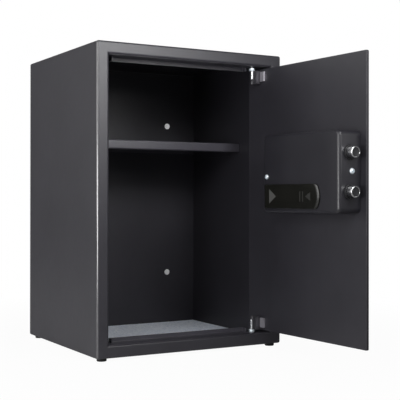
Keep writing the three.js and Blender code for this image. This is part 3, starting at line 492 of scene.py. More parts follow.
def along(axis):
    """A test for edges that run along an axis."""
    return lambda edge: abs((edge.verts[1].co - edge.verts[0].co).normalized()[axis]) > 0.999


def at_level(axis, level):
    """A test for edges that lie in a plane across an axis."""
    return lambda edge: all(abs(vertex.co[axis] - level) < SAME_LEVEL for vertex in edge.verts)


def rounded_block(name, low, high, axis, corner, rims=(), segments=6):
    """A block with round corners along an axis, and (level, radius) rims rounded at its ends."""
    piece = block(name, low, high)
    round_off(piece, along(axis), corner, segments)
    for level, radius in rims:
        round_off(piece, at_level(axis, level), radius, max(3, segments - 1))
    return piece


def boolean(piece, operation, *tools):
    """Cuts, joins or keeps what is common, and deletes the tools."""
    for tool in tools:
        pick(piece)
        modifier = piece.modifiers.new("shape", "BOOLEAN")
        modifier.operation = operation
        modifier.solver = "EXACT"
        modifier.object = tool
        bpy.ops.object.modifier_apply(modifier=modifier.name)
        bpy.data.objects.remove(tool)
    return piece


def joined(name, *pieces):
    """Several pieces as one mesh."""
    pick(*pieces)
    bpy.ops.object.join()
    pieces[0].name = name
    return pieces[0]


def modified(piece, kind, **settings):
    """Adds a modifier with its settings and applies it."""
    pick(piece)
    modifier = piece.modifiers.new(kind.lower(), kind)
    for name, value in settings.items():
        setattr(modifier, name, value)
    bpy.ops.object.modifier_apply(modifier=modifier.name)
    return piece


def smoothed(piece, angle=32):
    """Smooth shading up to an angle, with the flat faces kept flat."""
    pick(piece)
    bpy.ops.object.shade_smooth_by_angle(angle=math.radians(angle))
    return modified(piece, "WEIGHTED_NORMAL", keep_sharp=True)


def copy_of(node, name, edge):
    """A CAD node's own shape as one welded mesh, with smooth bends and softened edges."""
    source = frame["nodes"][node]
    piece = bpy.data.objects.new(name, source.data.copy())
    bpy.context.scene.collection.objects.link(piece)
    piece.data.materials.clear()
    pick(piece)
    bpy.ops.object.mode_set(mode="EDIT")
    bpy.ops.mesh.select_all(action="SELECT")
    bpy.ops.mesh.remove_doubles(threshold=MERGE_DISTANCE)
    bpy.ops.mesh.dissolve_limited(angle_limit=math.radians(1))
    bpy.ops.object.mode_set(mode="OBJECT")
    limit = math.radians(40)
    modified(piece, "BEVEL", width=edge, segments=2, limit_method="ANGLE", angle_limit=limit)
    return smoothed(piece)


def fit(piece, body, slot, material, *nodes, place=STILL):
    """Puts a finished piece in its place, dresses it if it's bare, and lets it stand for its CAD nodes."""
    settle(piece, place)
    if not piece.data.materials:
        piece.data.materials.append(material)
    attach(piece, body)
    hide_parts(*nodes)


def two_tone(base, base_material, top, top_material):
    """Two pieces joined as one, each with its own material."""
    base.data.materials.append(base_material)
    top.data.materials.append(top_material)
    return joined(base.name, base, top)


def spot(x, y, z, turn=STILL):
    """A place at a point, turned or not."""
    return Matrix.Translation((x, y, z)) @ turn


# Cabinet

SHEET = 2 * MM
FLANGE_SIDE = 20.3 * MM
FLANGE_END = 20.5 * MM
EDGE_RADIUS = 3.6 * MM
FRONT_BEND = 3.5 * MM
OPENING_CORNER = MM
OPENING_ROUND = 3.5 * MM
FLARE_STEPS = 5
OVERRUN = 5 * MM  # how far a cutter reaches past what it cuts
CLEARANCE = 0.3 * MM  # between pieces that stand still next to each other
FEET = [f"foot_{depth}_{side}" for side in ("left", "right") for depth in ("front", "rear")]
FOOT_HOLE = 8.3 * MM


def opening_cutter(low, high):
    """What the opening takes from the cabinet: a soft-cornered block that flares out at the flange's bend."""
    mouth = low.y + OPENING_ROUND
    cutter = rounded_block(
        "opening",
        (low.x + FLANGE_SIDE, mouth, low.z + FLANGE_END),
        (high.x - FLANGE_SIDE, mouth + OVERRUN, high.z - FLANGE_END),
        Y,
        OPENING_CORNER,
        segments=4,
    )
    half = Vector((high.x - FLANGE_SIDE, 0, (high.z - low.z) / 2 - FLANGE_END))
    middle = (0, mouth, (low.z + high.z) / 2)
    bpy.ops.object.mode_set(mode="EDIT")
    choose("FACE", lambda face: face.normal.y < -0.99)
    flare, level = 0.0, mouth
    for step in range(1, FLARE_STEPS + 2):
        angle = math.pi / 2 * min(step, FLARE_STEPS) / FLARE_STEPS
        new_flare = OPENING_ROUND * (1 - math.cos(angle))
        new_level = mouth - OPENING_ROUND * math.sin(angle) - (OVERRUN if step > FLARE_STEPS else 0)
        bpy.ops.mesh.extrude_region_move(TRANSFORM_OT_translate={"value": (0, new_level - level, 0)})
        wider = (half.x + new_flare) / (half.x + flare)
        taller = (half.z + new_flare) / (half.z + flare)
        bpy.ops.transform.resize(value=(wider, 1, taller), center_override=middle)
        flare, level = new_flare, new_level
    bpy.ops.object.mode_set(mode="OBJECT")
    return cutter


def cabinet_body():
    low, high = extent("cabinet_shell")
    inset = Vector((SHEET, 0, SHEET))
    body = rounded_block("cabinet_body", low, high, Y, EDGE_RADIUS, [(low.y, FRONT_BEND)], 7)
    hollow_low = low + inset + Vector((0, SHEET, 0))
    hollow = rounded_block(
        "hollow",
        hollow_low,
        high - inset + Vector((0, OVERRUN, 0)),
        Y,
        EDGE_RADIUS - SHEET,
        [(hollow_low.y, FRONT_BEND - SHEET)],
        5,
    )
    boolean(body, "DIFFERENCE", hollow, opening_cutter(low, high))
    for foot in FEET:
        middle = middle_of(foot)
        hole = rod("hole", FOOT_HOLE, spot(middle.x, middle.y, low.z - SHEET), 3 * SHEET)
        boolean(body, "DIFFERENCE", hole)
    fit(smoothed(body), "cabinet", "body_paint", PAINT, "cabinet_shell")


def folded_pieces():
    # The shelf and the two frame channels take the lit copy of the paint, whose lighter colour is painted
    # light
    for node, edge, paint in (
        ("frame_channel_top", 0.25 * MM, PAINTED_LIGHT_COAT),
        ("frame_channel_bottom", 0.25 * MM, PAINTED_LIGHT_COAT),
        ("strike_return", 0.25 * MM, PAINT),
        ("shelf", 0.25 * MM, PAINTED_LIGHT_COAT),
        ("shelf_rail_left", 0.2 * MM, PAINT),
        ("shelf_rail_right", 0.2 * MM, PAINT),
    ):
        fit(copy_of(node, node + "_folded", edge), "cabinet", "body_paint", paint, node)


FELT_STEP = 3 * MM
FELT_WAVE = 0.9 * MM  # the whole height of the felt's unevenness
FELT_SEED = 1  # the noise starts from the clock without one
LONG_WAVES, SHORT_WAVES = 28, 120  # to the metre


def felt_mat():
    """A sheet of needle felt with a hand-cut edge, laid on the floor over the rear feet's flanges."""
    low, high = extent("floor_mat")
    size = high - low
    steps = [int(size[axis] / FELT_STEP) for axis in (X, Y)]
    bpy.ops.object.select_all(action="DESELECT")
    bpy.ops.mesh.primitive_grid_add(
        x_subdivisions=steps[X],
        y_subdivisions=steps[Y],
        size=1,
        location=((low.x + high.x) / 2, (low.y + high.y) / 2, high.z - FELT_WAVE / 2),
    )
    bpy.context.object.scale = (size.x - FELT_WAVE, size.y - FELT_WAVE, 1)
    mat = take_new("felt_mat")
    middle = (low + high) / 2
    noise.seed_set(FELT_SEED)
    for vertex in mat.data.vertices:
        place = vertex.co.copy()
        long, short = noise.noise_vector(place * LONG_WAVES), noise.noise_vector(place * SHORT_WAVES)
        wobble = long * 0.6 + short * 0.4
        to_edge = min(size.x / 2 - abs(place.x - middle.x), size.y / 2 - abs(place.y - middle.y))
        near_edge = max(0.0, 1 - to_edge / (4 * FELT_STEP))
        vertex.co.x += 0.5 * FELT_WAVE * wobble.x * near_edge
        vertex.co.y += 0.5 * FELT_WAVE * wobble.y * near_edge
        vertex.co.z += 0.35 * FELT_WAVE * wobble.z - 0.2 * FELT_WAVE * near_edge
    modified(mat, "SOLIDIFY", thickness=high.z - low.z - FELT_WAVE, offset=-1)
    feet = [middle_of(f"foot_rear_{side}") for side in ("left", "right")]
    foot_low, foot_high = extent("foot_rear_left")
    flange = (foot_high - foot_low).x / 2
    for vertex in mat.data.vertices:
        if vertex.co.z < middle.z:
            over_foot = any(math.dist(vertex.co.xy, foot.xy) < flange + FELT_STEP for foot in feet)
            vertex.co.z = foot_high.z + CLEARANCE if over_foot else max(vertex.co.z, low.z)
    fit(smoothed(mat, 60), "cabinet", "felt", FELT, "floor_mat")


def anchor_plugs():
    """Plugs with domed heads on the inside of the back panel."""
    for side in ("left", "right"):
        for level in ("lower", "upper"):
            node = f"anchor_plug_{level}_{side}"
            low, high = extent(node)
            middle = (low + high) / 2
            head = (high - low).x / 2
            stem = head - 1.55 * MM
            depth = high.y - low.y
            rings = [
                (0.3 * head, 0),
                (head - 1.1 * MM, 0.05 * MM),
                (head - 0.35 * MM, 0.45 * MM),
                (head, 1.1 * MM),
                (head, 1.6 * MM),
                (stem, 1.6 * MM),
                (stem, depth - 0.5 * MM),
                (stem - 0.5 * MM, depth),
            ]
            plug = turned(node + "_domed", rings, spot(middle.x, low.y, middle.z, TO_BACK), 40)
            fit(smoothed(plug), "cabinet", "plug_plastic", PLUG, node)


def feet():
    for node in FEET:
        fit(copy_of(node, node + "_soft", edge=0.3 * MM), "cabinet", "rubber", RUBBER, node)


PIN_BORE = 3.2 * MM
WASHER_EDGE = 0.7 * MM
PIN_TIP = 0.9 * MM


def hinge_hardware():
    """Pins, brackets and washers. The upper washer lies on its bracket and turns with the door."""
    for level, body in (("top", "door"), ("bottom", "cabinet")):
        low, high = extent(f"hinge_washer_{level}")
        middle, size = (low + high) / 2, high - low
        rings = softened(size.x / 2, size.z, WASHER_EDGE)
        washer = turned(f"washer_{level}", rings, spot(middle.x, middle.y, low.z), 64)
        bore = rod("bore", PIN_BORE, spot(middle.x, middle.y, low.z - MM), size.z + 2 * MM, 48)
        boolean(washer, "DIFFERENCE", bore)
        fit(smoothed(washer), body, "zinc_steel", SCREW, f"hinge_washer_{level}")

        low, high = extent(f"hinge_pin_{level}", DOOR)
        size = high - low
        pin = turned(f"pin_{level}", softened(size.x / 2, size.z, PIN_TIP), spot(0, 0, low.z), 48)
        fit(smoothed(pin), "door", "zinc_steel", ZINC, f"hinge_pin_{level}", place=DOOR)
        bracket = copy_of(f"hinge_bracket_{level}", f"bracket_{level}", edge=0.5 * MM)
        fit(bracket, "door", "zinc_steel", BRACKET, f"hinge_bracket_{level}")


# Door and lock case

CASE_WALL = 2.5 * MM
CASE_CORNER = 9 * MM
CASE_RIM = 5 * MM
TRAY_WALL = 1.5 * MM
LID_TRAVEL = 9.5 * MM
RAIL_THICKNESS = 1.5 * MM
HOOK_LENGTH = 18 * MM
HOOK_REACH = 2.6 * MM
HOOK_PLACES = [25 * MM, 89 * MM]  # from the lid's hinge end
RUNNING_GAP = 0.4 * MM  # round pieces that slide or turn
GUIDE_SHEET = 3 * MM
GUIDE_FROM_WALL = MM
COLLAR_RADIUS = 11.55 * MM
COLLAR_LIP = 0.8 * MM
COLLAR_BORE = 9.55 * MM
SCREW_SHANK = 2 * MM
BUTTON_HOLE = 3.4 * MM
DRILL_LENGTH = 12 * MM


def door_plate():
    low, high = extent("door_panel", DOOR)
    rims = [(low.y, 0.8 * MM), (high.y, 0.8 * MM)]
    plate = rounded_block("door_plate", low, high, Y, 2 * MM, rims, 5)
    fit(smoothed(plate), "door", "body_paint", PAINT, "door_panel", place=DOOR)


def case_cover():
    low, high = extent("lock_case", DOOR)
    cover = rounded_block("case_cover", low, high, Y, CASE_CORNER, [(high.y, CASE_RIM)], 9)
    wall = Vector((CASE_WALL, 0, CASE_WALL))
    hollow_high = high - wall - Vector((0, CASE_WALL, 0))
    hollow = rounded_block(
        "hollow",
        low + wall - Vector((0, OVERRUN, 0)),
        hollow_high,
        Y,
        CASE_CORNER - CASE_WALL,
        [(hollow_high.y, CASE_RIM - CASE_WALL)],
        5,
    )
    boolean(cover, "DIFFERENCE", hollow)

    tray_low, tray_high = extent("battery_tray", DOOR)
    bay_low = Vector((tray_low.x - LID_TRAVEL, high.y - 2 * CASE_WALL, tray_low.z + TRAY_WALL))
    bay_high = Vector((tray_high.x, high.y + OVERRUN, tray_high.z - TRAY_WALL))
    boolean(cover, "DIFFERENCE", block("bay", bay_low, bay_high))
    lid_start = extent("battery_cover", DOOR)[1].x
    for offset in HOOK_PLACES:
        start = lid_start - offset - LID_TRAVEL
        notch = block(
            "notch",
            (start - HOOK_LENGTH - RUNNING_GAP, bay_low.y, bay_low.z - HOOK_REACH),
            (start + RUNNING_GAP, bay_high.y, bay_high.z + HOOK_REACH),
        )
        boolean(cover, "DIFFERENCE", notch)

    from_free_end, from_hinge_end, from_front = low.x - OVERRUN, high.x + OVERRUN, high.y + OVERRUN
    upper, lower = middle_of("bolt_upper", DOOR), middle_of("bolt_lower", DOOR)
    side, front = middle_of("case_screw_side", DOOR), middle_of("case_screw_front", DOOR)
    button = middle_of("reset_button", DOOR)
    for radius, place, segments in (
        (COLLAR_RADIUS + CLEARANCE, spot(from_free_end, upper.y, upper.z, TO_RIGHT), 48),
        (COLLAR_RADIUS + CLEARANCE, spot(from_free_end, lower.y, lower.z, TO_RIGHT), 48),
        (SCREW_SHANK + CLEARANCE, spot(from_free_end, side.y, side.z, TO_RIGHT), 32),
        (SCREW_SHANK + CLEARANCE, spot(front.x, from_front, front.z, TO_FRONT), 32),
        (BUTTON_HOLE, spot(from_hinge_end, button.y, button.z, TO_LEFT), 32),
    ):
        boolean(cover, "DIFFERENCE", rod("hole", radius, place, DRILL_LENGTH, segments))
    fit(smoothed(cover), "door", "case_plastic", CASE, "lock_case", place=DOOR)


def bolt_collars():
    """The guide's upright plate inside the case, with the two collars that stand out of the case's side."""
    low, high = extent("bolt_guide", DOOR)
    start = extent("lock_case", DOOR)[0].x + CASE_WALL + GUIDE_FROM_WALL
    end = start + GUIDE_SHEET
    plate = block("bolt_collars", (start, low.y, low.z), (end, high.y, high.z))
    foot = block("foot", (start, low.y, low.z), (high.x, low.y + GUIDE_SHEET, high.z))
    boolean(plate, "UNION", foot)
    length = end - low.x
    rings = [
        (COLLAR_RADIUS, 0),
        (COLLAR_RADIUS, length - COLLAR_LIP),
        (COLLAR_RADIUS - 0.3 * COLLAR_LIP, length - 0.3 * COLLAR_LIP),
        (COLLAR_RADIUS - COLLAR_LIP, length),
    ]
    for node in ("bolt_upper", "bolt_lower"):
        middle = middle_of(node, DOOR)
        collar = turned("collar", rings, spot(end, middle.y, middle.z, TO_LEFT), 64)
        bore_start = spot(low.x - MM, middle.y, middle.z, TO_RIGHT)
        bore = rod("bore", COLLAR_BORE, bore_start, length + 8 * MM, 64)
        boolean(plate, "UNION", collar)
        boolean(plate, "DIFFERENCE", bore)
    fit(smoothed(plate), "door", "zinc_steel", BLACK, "bolt_guide", place=DOOR)


def bolts():
    """Polished bolts with a neck at the inner end and a blackened core in the outer end."""
    for node in ("bolt_upper", "bolt_lower"):
        low, high = extent(node, DOOR)
        middle = (low + high) / 2
        place = spot(high.x, middle.y, middle.z, TO_LEFT)
        radius = (high - low).z / 2
        length = high.x - low.x
        neck = 5.2 * MM
        rings = [
            (5.6 * MM, 0),
            (5.6 * MM, 1.6 * MM),
            (4 * MM, 1.6 * MM),
            (4 * MM, neck),
            (radius, neck),
            (radius, length - 1.5 * MM),
            (radius - 0.12 * MM, length - 0.95 * MM),
            (radius - 0.45 * MM, length - 0.45 * MM),
            (radius - 0.95 * MM, length - 0.12 * MM),
            (radius - 1.5 * MM, length),
            (7.3 * MM, length),
            (6.9 * MM, length - 0.4 * MM),
            (6.9 * MM, length - 1.5 * MM),
        ]
        bolt = turned(node + "_polished", rings, place, 72)
        rings = [
            (6.9 * MM, length - 1.7 * MM),
            (6.9 * MM, length - 0.9 * MM),
            (6 * MM, length - 0.9 * MM),
            (5 * MM, length - 1.25 * MM),
            (2 * MM, length - 1.4 * MM),
        ]
        bolt = two_tone(bolt, CHROME, turned("bolt_core", rings, place, 48), BLACK)
        fit(smoothed(bolt), "bolts", "chrome", CHROME, node, place=DOOR)


SCREW_DOME = 2.8 * MM
CROSS_FLOOR = 1.3 * MM
CROSS_HALF_WIDTH = 0.42 * MM


def round_screw(name, node, head, turn, axis, head_first):
    """A round-headed screw with a cross recess. The head is at its low end along an axis if it's first."""
    low, high = extent(node, DOOR)
    length = (high - low)[axis] - SCREW_DOME
    rings = [(1.2 * MM, -length), (SCREW_SHANK, 0.8 * MM - length), (SCREW_SHANK, 0), (head, 0)]
    for step in range(7):
        angle = math.radians(14 + 12 * step)
        rings.append((head * math.cos(angle) ** 0.8, SCREW_DOME * math.sin(angle)))
    screw = turned(name, rings, STILL, 40)
    arm, slot = 0.52 * head, CROSS_HALF_WIDTH
    across = block("cross", (-arm, -slot, CROSS_FLOOR), (arm, slot, SCREW_DOME + MM))
    upright = block("cross", (-slot, -arm, CROSS_FLOOR), (slot, arm, SCREW_DOME + MM))
    boolean(screw, "DIFFERENCE", across, upright)
    place = (low + high) / 2
    place[axis] = low[axis] + SCREW_DOME if head_first else high[axis] - SCREW_DOME
    settle(screw, spot(*place, turn))
    fit(smoothed(screw), "door", "zinc_steel", SCREW, node, place=DOOR)


def case_screws():
    round_screw("side_screw", "case_screw_side", 4.7 * MM, TO_LEFT, X, True)
    round_screw("front_screw", "case_screw_front", 4.1 * MM, TO_BACK, Y, False)


LID_HEIGHT = 4 * MM
LID_BULGE = 6.5 * MM  # how far the free end bows out
LID_SLOPE = 6 * MM  # length of the slope at the free end
LID_STEP = 1.9 * MM  # height of the upright edge under the slope
LID_CORNER = 2.6 * MM
RELIEF_HEIGHT = 0.7 * MM
RELIEF_SUNK = 0.2 * MM
# The arrows' base and tip, from the lid's hinge end, and half their height
ARROWS = [(13.3 * MM, 30.3 * MM, 11.4 * MM), (117.5 * MM, 105.1 * MM, 6.5 * MM)]
BARS = [91.5 * MM, 98 * MM]  # from the lid's hinge end
BAR_WIDTH = 1.8 * MM
BAR_HALF = 8 * MM


def raised_arrow(base_x, tip_x, middle_z, half, bottom):
    """A flat triangle that points along X."""
    arrow = turned("arrow", [(MM, 0), (MM, RELIEF_HEIGHT + RELIEF_SUNK)], STILL, 3)
    corners = [(base_x, middle_z + half), (base_x, middle_z - half), (tip_x, middle_z)]

    def direction(vertex):
        return round(math.atan2(vertex.co.y, vertex.co.x), 3)

    directions = sorted({direction(vertex) for vertex in arrow.data.vertices})
    for vertex in arrow.data.vertices:
        x, z = corners[directions.index(direction(vertex))]
        vertex.co = Vector((x, bottom + vertex.co.z, z))
    return arrow


def battery_lid():
    """The lid over the battery bay, with raised signs and a bowed free end that slopes down to a low edge."""
    low, high = extent("battery_cover", DOOR)
    top = high.y - RELIEF_HEIGHT
    base = top - LID_HEIGHT
    start, end = high.x, low.x + LID_BULGE
    lid = block("battery_lid", (end, base, low.z), (start, top, high.z))
    middle = (low + high) / 2
    half = (high.z - low.z) / 2
    pick(lid)
    bpy.ops.object.mode_set(mode="EDIT")
    choose("EDGE", along(Z))
    bpy.ops.mesh.subdivide(number_cuts=19)
    bpy.ops.mesh.select_all(action="SELECT")
    bpy.ops.mesh.bisect(plane_co=(0, base + LID_STEP, 0), plane_no=(0, 1, 0))
    bpy.ops.object.mode_set(mode="OBJECT")
    for vertex in lid.data.vertices:
        if vertex.co.x < middle.x:
            share = abs(vertex.co.z - middle.z) / half
            corner = max(0.0, (share - 0.8) / 0.2)
            vertex.co.x += LID_CORNER * corner * corner - LID_BULGE * (1 - share * share)
            if vertex.co.y > top - 0.1 * MM:
                vertex.co.x += LID_SLOPE

    def top_edge(edge):
        if len(edge.link_faces) != 2:
            return False
        return at_level(Y, top)(edge) and edge.calc_face_angle(0) > math.radians(40)

    round_off(lid, top_edge, 0.6 * MM, 3)
    lid.data.materials.append(LID)

    bottom = top - RELIEF_SUNK
    relief = [
        raised_arrow(start - base_at, start - tip_at, middle.z, spread, bottom)
        for base_at, tip_at, spread in ARROWS
    ]
    for offset in BARS:
        bar = block(
            "bar",
            (start - offset - BAR_WIDTH, bottom, middle.z - BAR_HALF),
            (start - offset, top + RELIEF_HEIGHT, middle.z + BAR_HALF),
        )
        relief.append(bar)
    for piece in relief:
        outward(piece).data.materials.append(RELIEF)
    rails = lid_rails(base, middle.z, start)
    rails.data.materials.append(LID)
    lid = joined("battery_lid", lid, *relief, rails)
    fit(smoothed(lid), "battery_cover_slider", "cover_plastic", LID, "battery_cover", place=DOOR)


def lid_rails(base, middle_z, start):
    """The two rails under the lid, with the hooks that lock behind the case's opening."""
    tray_low, tray_high = extent("battery_tray", DOOR)
    low = extent("battery_cover", DOOR)[0].y
    hook_top = extent("lock_case", DOOR)[1].y - CASE_WALL - CLEARANCE
    parts = []
    for side in (-1, 1):
        outer = middle_z + side * ((tray_high.z - tray_low.z) / 2 - TRAY_WALL - RUNNING_GAP)
        inner = outer - side * RAIL_THICKNESS
        reach = outer + side * HOOK_REACH
        spans = [(tray_low.x + 0.5 * MM, tray_high.x - 2 * MM, base, outer)]
        for offset in HOOK_PLACES:
            spans.append((start - offset - HOOK_LENGTH, start - offset, hook_top, reach))
        for from_x, to_x, top, edge in spans:
            z_low, z_high = sorted((inner, edge))
            parts.append(block("rail", (from_x, low, z_low), (to_x, top, z_high)))
    return joined("rails", *parts)


# Outside of the door

FLUTES = 12
FLUTE_RADIUS = 4 * MM
FLUTE_OUT = 2.6 * MM  # from the knob's edge to the flutes' axes
FLUTE_START = 7 * MM  # over the door's face
KNOB_DISH = 0.9 * MM  # depth of the knob's face inside its rim
SPINDLE_BORE = 4.3 * MM


def knob():
    low, high = extent("knob", DOOR)
    middle = (low + high) / 2
    radius = (high - low).z / 2
    length = high.y - low.y
    rings = [
        (radius - 1.2 * MM, 0),
        (radius - 0.2 * MM, 0.3 * MM),
        (radius, MM),
        (radius, 1.8 * MM),
        (radius - 2.4 * MM, 3 * MM),
        (radius - 3.4 * MM, 5.5 * MM),
        (radius - 0.6 * MM, 8.5 * MM),
        (radius, 10 * MM),
        (radius, length - 2.4 * MM),
        (radius - 0.5 * MM, length - MM),
        (radius - 1.6 * MM, length - 0.3 * MM),
        (radius - 2.8 * MM, length),
        (radius - 4.6 * MM, length),
        (radius - 5.4 * MM, length - KNOB_DISH),
        (2 * MM, length - KNOB_DISH),
    ]
    grip = turned("knob_grip", rings, spot(middle.x, high.y, middle.z, TO_FRONT), 96)
    reach = radius + FLUTE_OUT
    for index in range(FLUTES):
        angle = 2 * math.pi * (index + 0.5) / FLUTES
        x, z = middle.x + reach * math.cos(angle), middle.z + reach * math.sin(angle)
        flute = rod("flute", FLUTE_RADIUS, spot(x, high.y - FLUTE_START, z, TO_FRONT), length)
        boolean(grip, "DIFFERENCE", flute)
    bore = rod("bore", SPINDLE_BORE, spot(middle.x, high.y + MM, middle.z, TO_FRONT), 20 * MM)
    boolean(grip, "DIFFERENCE", bore)
    face = low.y + KNOB_DISH
    pointer = rounded_block(
        "pointer",
        (middle.x - 0.9 * MM, face - 0.3 * MM, middle.z + 3 * MM),
        (middle.x + 0.9 * MM, face + 0.3 * MM, middle.z + 12 * MM),
        Y,
        0.8 * MM,
        segments=4,
    )
    grip = two_tone(grip, CASE, pointer, MARK)
    fit(smoothed(grip), "knob_and_crank", "case_plastic", CASE, "knob", place=DOOR)


KEY_TRAVEL = 1.2 * MM
WELL_CORNER = 0.8 * MM
SPINDLE_HOLE = 4.4 * MM
LOCK_HOLE = 7.9 * MM
RIVET_HOLE = 2.6 * MM
RIVET_BELOW_TOP = 5 * MM  # from the upper end of the emergency lock's flap
KEYS_IN_ORDER = ("1", "2", "3", "4", "5", "6", "7", "8", "9", "star", "0", "hash")
SIGNS = {"star": "*", "hash": "#"}
SIGN_SIZE = 8.2 * MM
SIGN_DEPTH = 0.12 * MM
STAR_DROP = 1.6 * MM  # a star stands high in its line
TAB_HALF = 5 * MM
TAB_CORNER = 4.9 * MM


def keypad_front():
    low, high = extent("keypad_fascia", DOOR)
    front = rounded_block("keypad_front", low, high, Y, 12 * MM, [(low.y, 2.5 * MM)], 9)
    for name in KEYS_IN_ORDER:
        key_low, key_high = extent(f"key_{name}", DOOR)
        well = rounded_block(
            "well",
            (key_low.x - RUNNING_GAP, low.y - OVERRUN, key_low.z - RUNNING_GAP),
            (key_high.x + RUNNING_GAP, key_high.y + KEY_TRAVEL + CLEARANCE, key_high.z + RUNNING_GAP),
            Y,
            WELL_CORNER,
            segments=3,
        )
        boolean(front, "DIFFERENCE", well)
    window_low, window_high = extent("light_window", DOOR)
    gap = Vector((CLEARANCE, 0, CLEARANCE))
    recess = block("recess", window_low - gap - Vector((0, OVERRUN, 0)), window_high + gap)
    boolean(front, "DIFFERENCE", recess)

    spindle = middle_of("knob", DOOR)
    lock_x = middle_of("key_lock", DOOR).x
    lock_low, lock_high = extent("key_lock", DOOR)
    lock_z = lock_high.z - (lock_high.x - lock_low.x) / 2  # the lock's round end is its upper one
    rivet_z = extent("key_lock_cover", DOOR)[1].z - RIVET_BELOW_TOP
    for radius, x, z, segments in (
        (SPINDLE_HOLE, spindle.x, spindle.z, 32),
        (LOCK_HOLE, lock_x, lock_z, 48),
        (RIVET_HOLE, lock_x, rivet_z, 32),
    ):
        hole = rod("hole", radius, spot(x, low.y - OVERRUN, z, TO_BACK), 20 * MM, segments)
        boolean(front, "DIFFERENCE", hole)
    fit(smoothed(front), "door", "case_plastic", CASE, "keypad_fascia", place=DOOR)


def key_caps():
    for name in KEYS_IN_ORDER:
        node = f"key_{name}"
        low, high = extent(node, DOOR)
        cap = rounded_block(node + "_cap_moulded", low, high, Y, 2.2 * MM, [(low.y, MM)], 5)
        middle = (low + high) / 2
        bpy.ops.object.select_all(action="DESELECT")
        bpy.ops.object.text_add()
        sign = bpy.context.object
        sign.data.body = SIGNS.get(name, name)
        sign.data.size = SIGN_SIZE
        sign.data.extrude = SIGN_DEPTH
        sign.data.align_x = "CENTER"
        sign.data.align_y = "CENTER"
        sign.data.resolution_u = 6
        drop = STAR_DROP if name == "star" else 0
        bpy.ops.object.convert(target="MESH")
        sign = settle(bpy.context.object, spot(middle.x, low.y, middle.z - drop, TO_FRONT))
        cap = two_tone(cap, KEYS, sign, PRINT)
        fit(smoothed(cap), f"key_{name}_cap", "key_plastic", KEYS, node, place=DOOR)


def lock_flap():
    """The emergency lock's cover: a disc and a tab that swing on a rivet."""
    low, high = extent("key_lock_cover", DOOR)
    middle = (low + high) / 2
    radius = (high - low).x / 2
    thick = 2 * MM
    edge = 0.5 * MM
    front = low.y + 0.8 * MM  # the rivet's head stands out in front of it
    disc_z = low.z + radius
    rings = [(radius - 0.2 * MM, 0), (radius, 0.3 * MM), (radius, thick - edge), (radius - edge, thick)]
    disc = turned("lock_flap", rings, spot(middle.x, front + thick, disc_z, TO_FRONT), 64)
    tab_low = (middle.x - TAB_HALF, front, disc_z)
    tab_high = (middle.x + TAB_HALF, front + thick, high.z)
    tab = rounded_block("tab", tab_low, tab_high, Y, TAB_CORNER)
    rings = [(2.2 * MM, 0), (2.2 * MM, high.y - front), (1.5 * MM, high.y - low.y)]
    rivet_place = spot(middle.x, high.y, high.z - RIVET_BELOW_TOP, TO_FRONT)
    rivet = turned("rivet", rings, rivet_place, 32)
    boolean(disc, "UNION", tab)
    disc = two_tone(disc, CASE, rivet, ZINC)
    fit(smoothed(disc), "key_lock_flap", "case_plastic", CASE, "key_lock_cover", place=DOOR)


# The CAD nodes that are kept as they are, by finish
KEPT = {
    PAINT: ["back_panel"],
    ZINC: ["lock_base_plate", "bolt_carriage", "spindle_crank", "solenoid", "solenoid_plunger"],
    CASE: ["battery_tray"],
    CELL: [f"battery_cell_{level}_{place}" for level in ("lower", "upper") for place in (1, 2)],
    BOARD: ["circuit_board"],
    WINDOW: ["light_window"],
    BRASS: ["key_lock"],
    RED: ["reset_button"],
}


def kept_nodes():
    for material, nodes in KEPT.items():
        for node in nodes:
            slots = frame["nodes"][node].data.materials
            slots.clear()
            slots.append(material)


# Room, light and camera

FLOOR_Z = -5 * MM
WHITE = (1, 1, 1, 1)


def white_floor(wire):
    return {"Base Color": (0.8, 0.8, 0.8), "Roughness": 0.9}


def ground():
    """A pale floor that is pure white to the camera away from the safe, and keeps its shadow near it."""
    bpy.ops.object.select_all(action="DESELECT")
    bpy.ops.mesh.primitive_plane_add(size=12, location=(0, 0, FLOOR_Z))
    floor = bpy.context.object
    floor.name = "floor"
    material = finish("white floor", white_floor, Specular_IOR_Level=0.0)
    tree = material.node_tree
    wire = Wire(tree)
    paint = Wire(tree, node_in(tree, "BSDF_PRINCIPLED").outputs[0])
    glow = wire.node("Emission", {"Color": WHITE, "Strength": 1.0})
    distance = wire.node("VectorMath", {0: wire.place()}, {"operation": "LENGTH"}, output="Value")
    whiteness = wire.node("ValToRGB", {0: distance}, stops=[(0.25, 0.96), (0.85, 1.0)])
    camera_ray = wire.node("LightPath", output="Is Camera Ray")
    mixed = wire.node("MixShader", {0: camera_ray * whiteness, 1: paint, 2: glow})
    tree.links.new(mixed.socket, node_in(tree, "OUTPUT_MATERIAL").inputs["Surface"])
    floor.data.materials.append(material)


def studio():
    """A white room to the camera that gives only a little light."""
    world = bpy.data.worlds.new("studio")
    bpy.context.scene.world = world
    world.use_nodes = True
    tree = world.node_tree
    wire = Wire(tree)
    camera_ray = wire.node("LightPath", output="Is Camera Ray")
    glossy_ray = wire.node("LightPath", output="Is Glossy Ray")
    transmission_ray = wire.node("LightPath", output="Is Transmission Ray")
    seen = wire.math("MAXIMUM", camera_ray, transmission_ray)
    strength = wire.math("MAXIMUM", seen, 0.08 + 0.05 * glossy_ray)
    background = node_in(tree, "BACKGROUND")
    background.inputs["Color"].default_value = WHITE
    tree.links.new(strength.socket, background.inputs["Strength"])


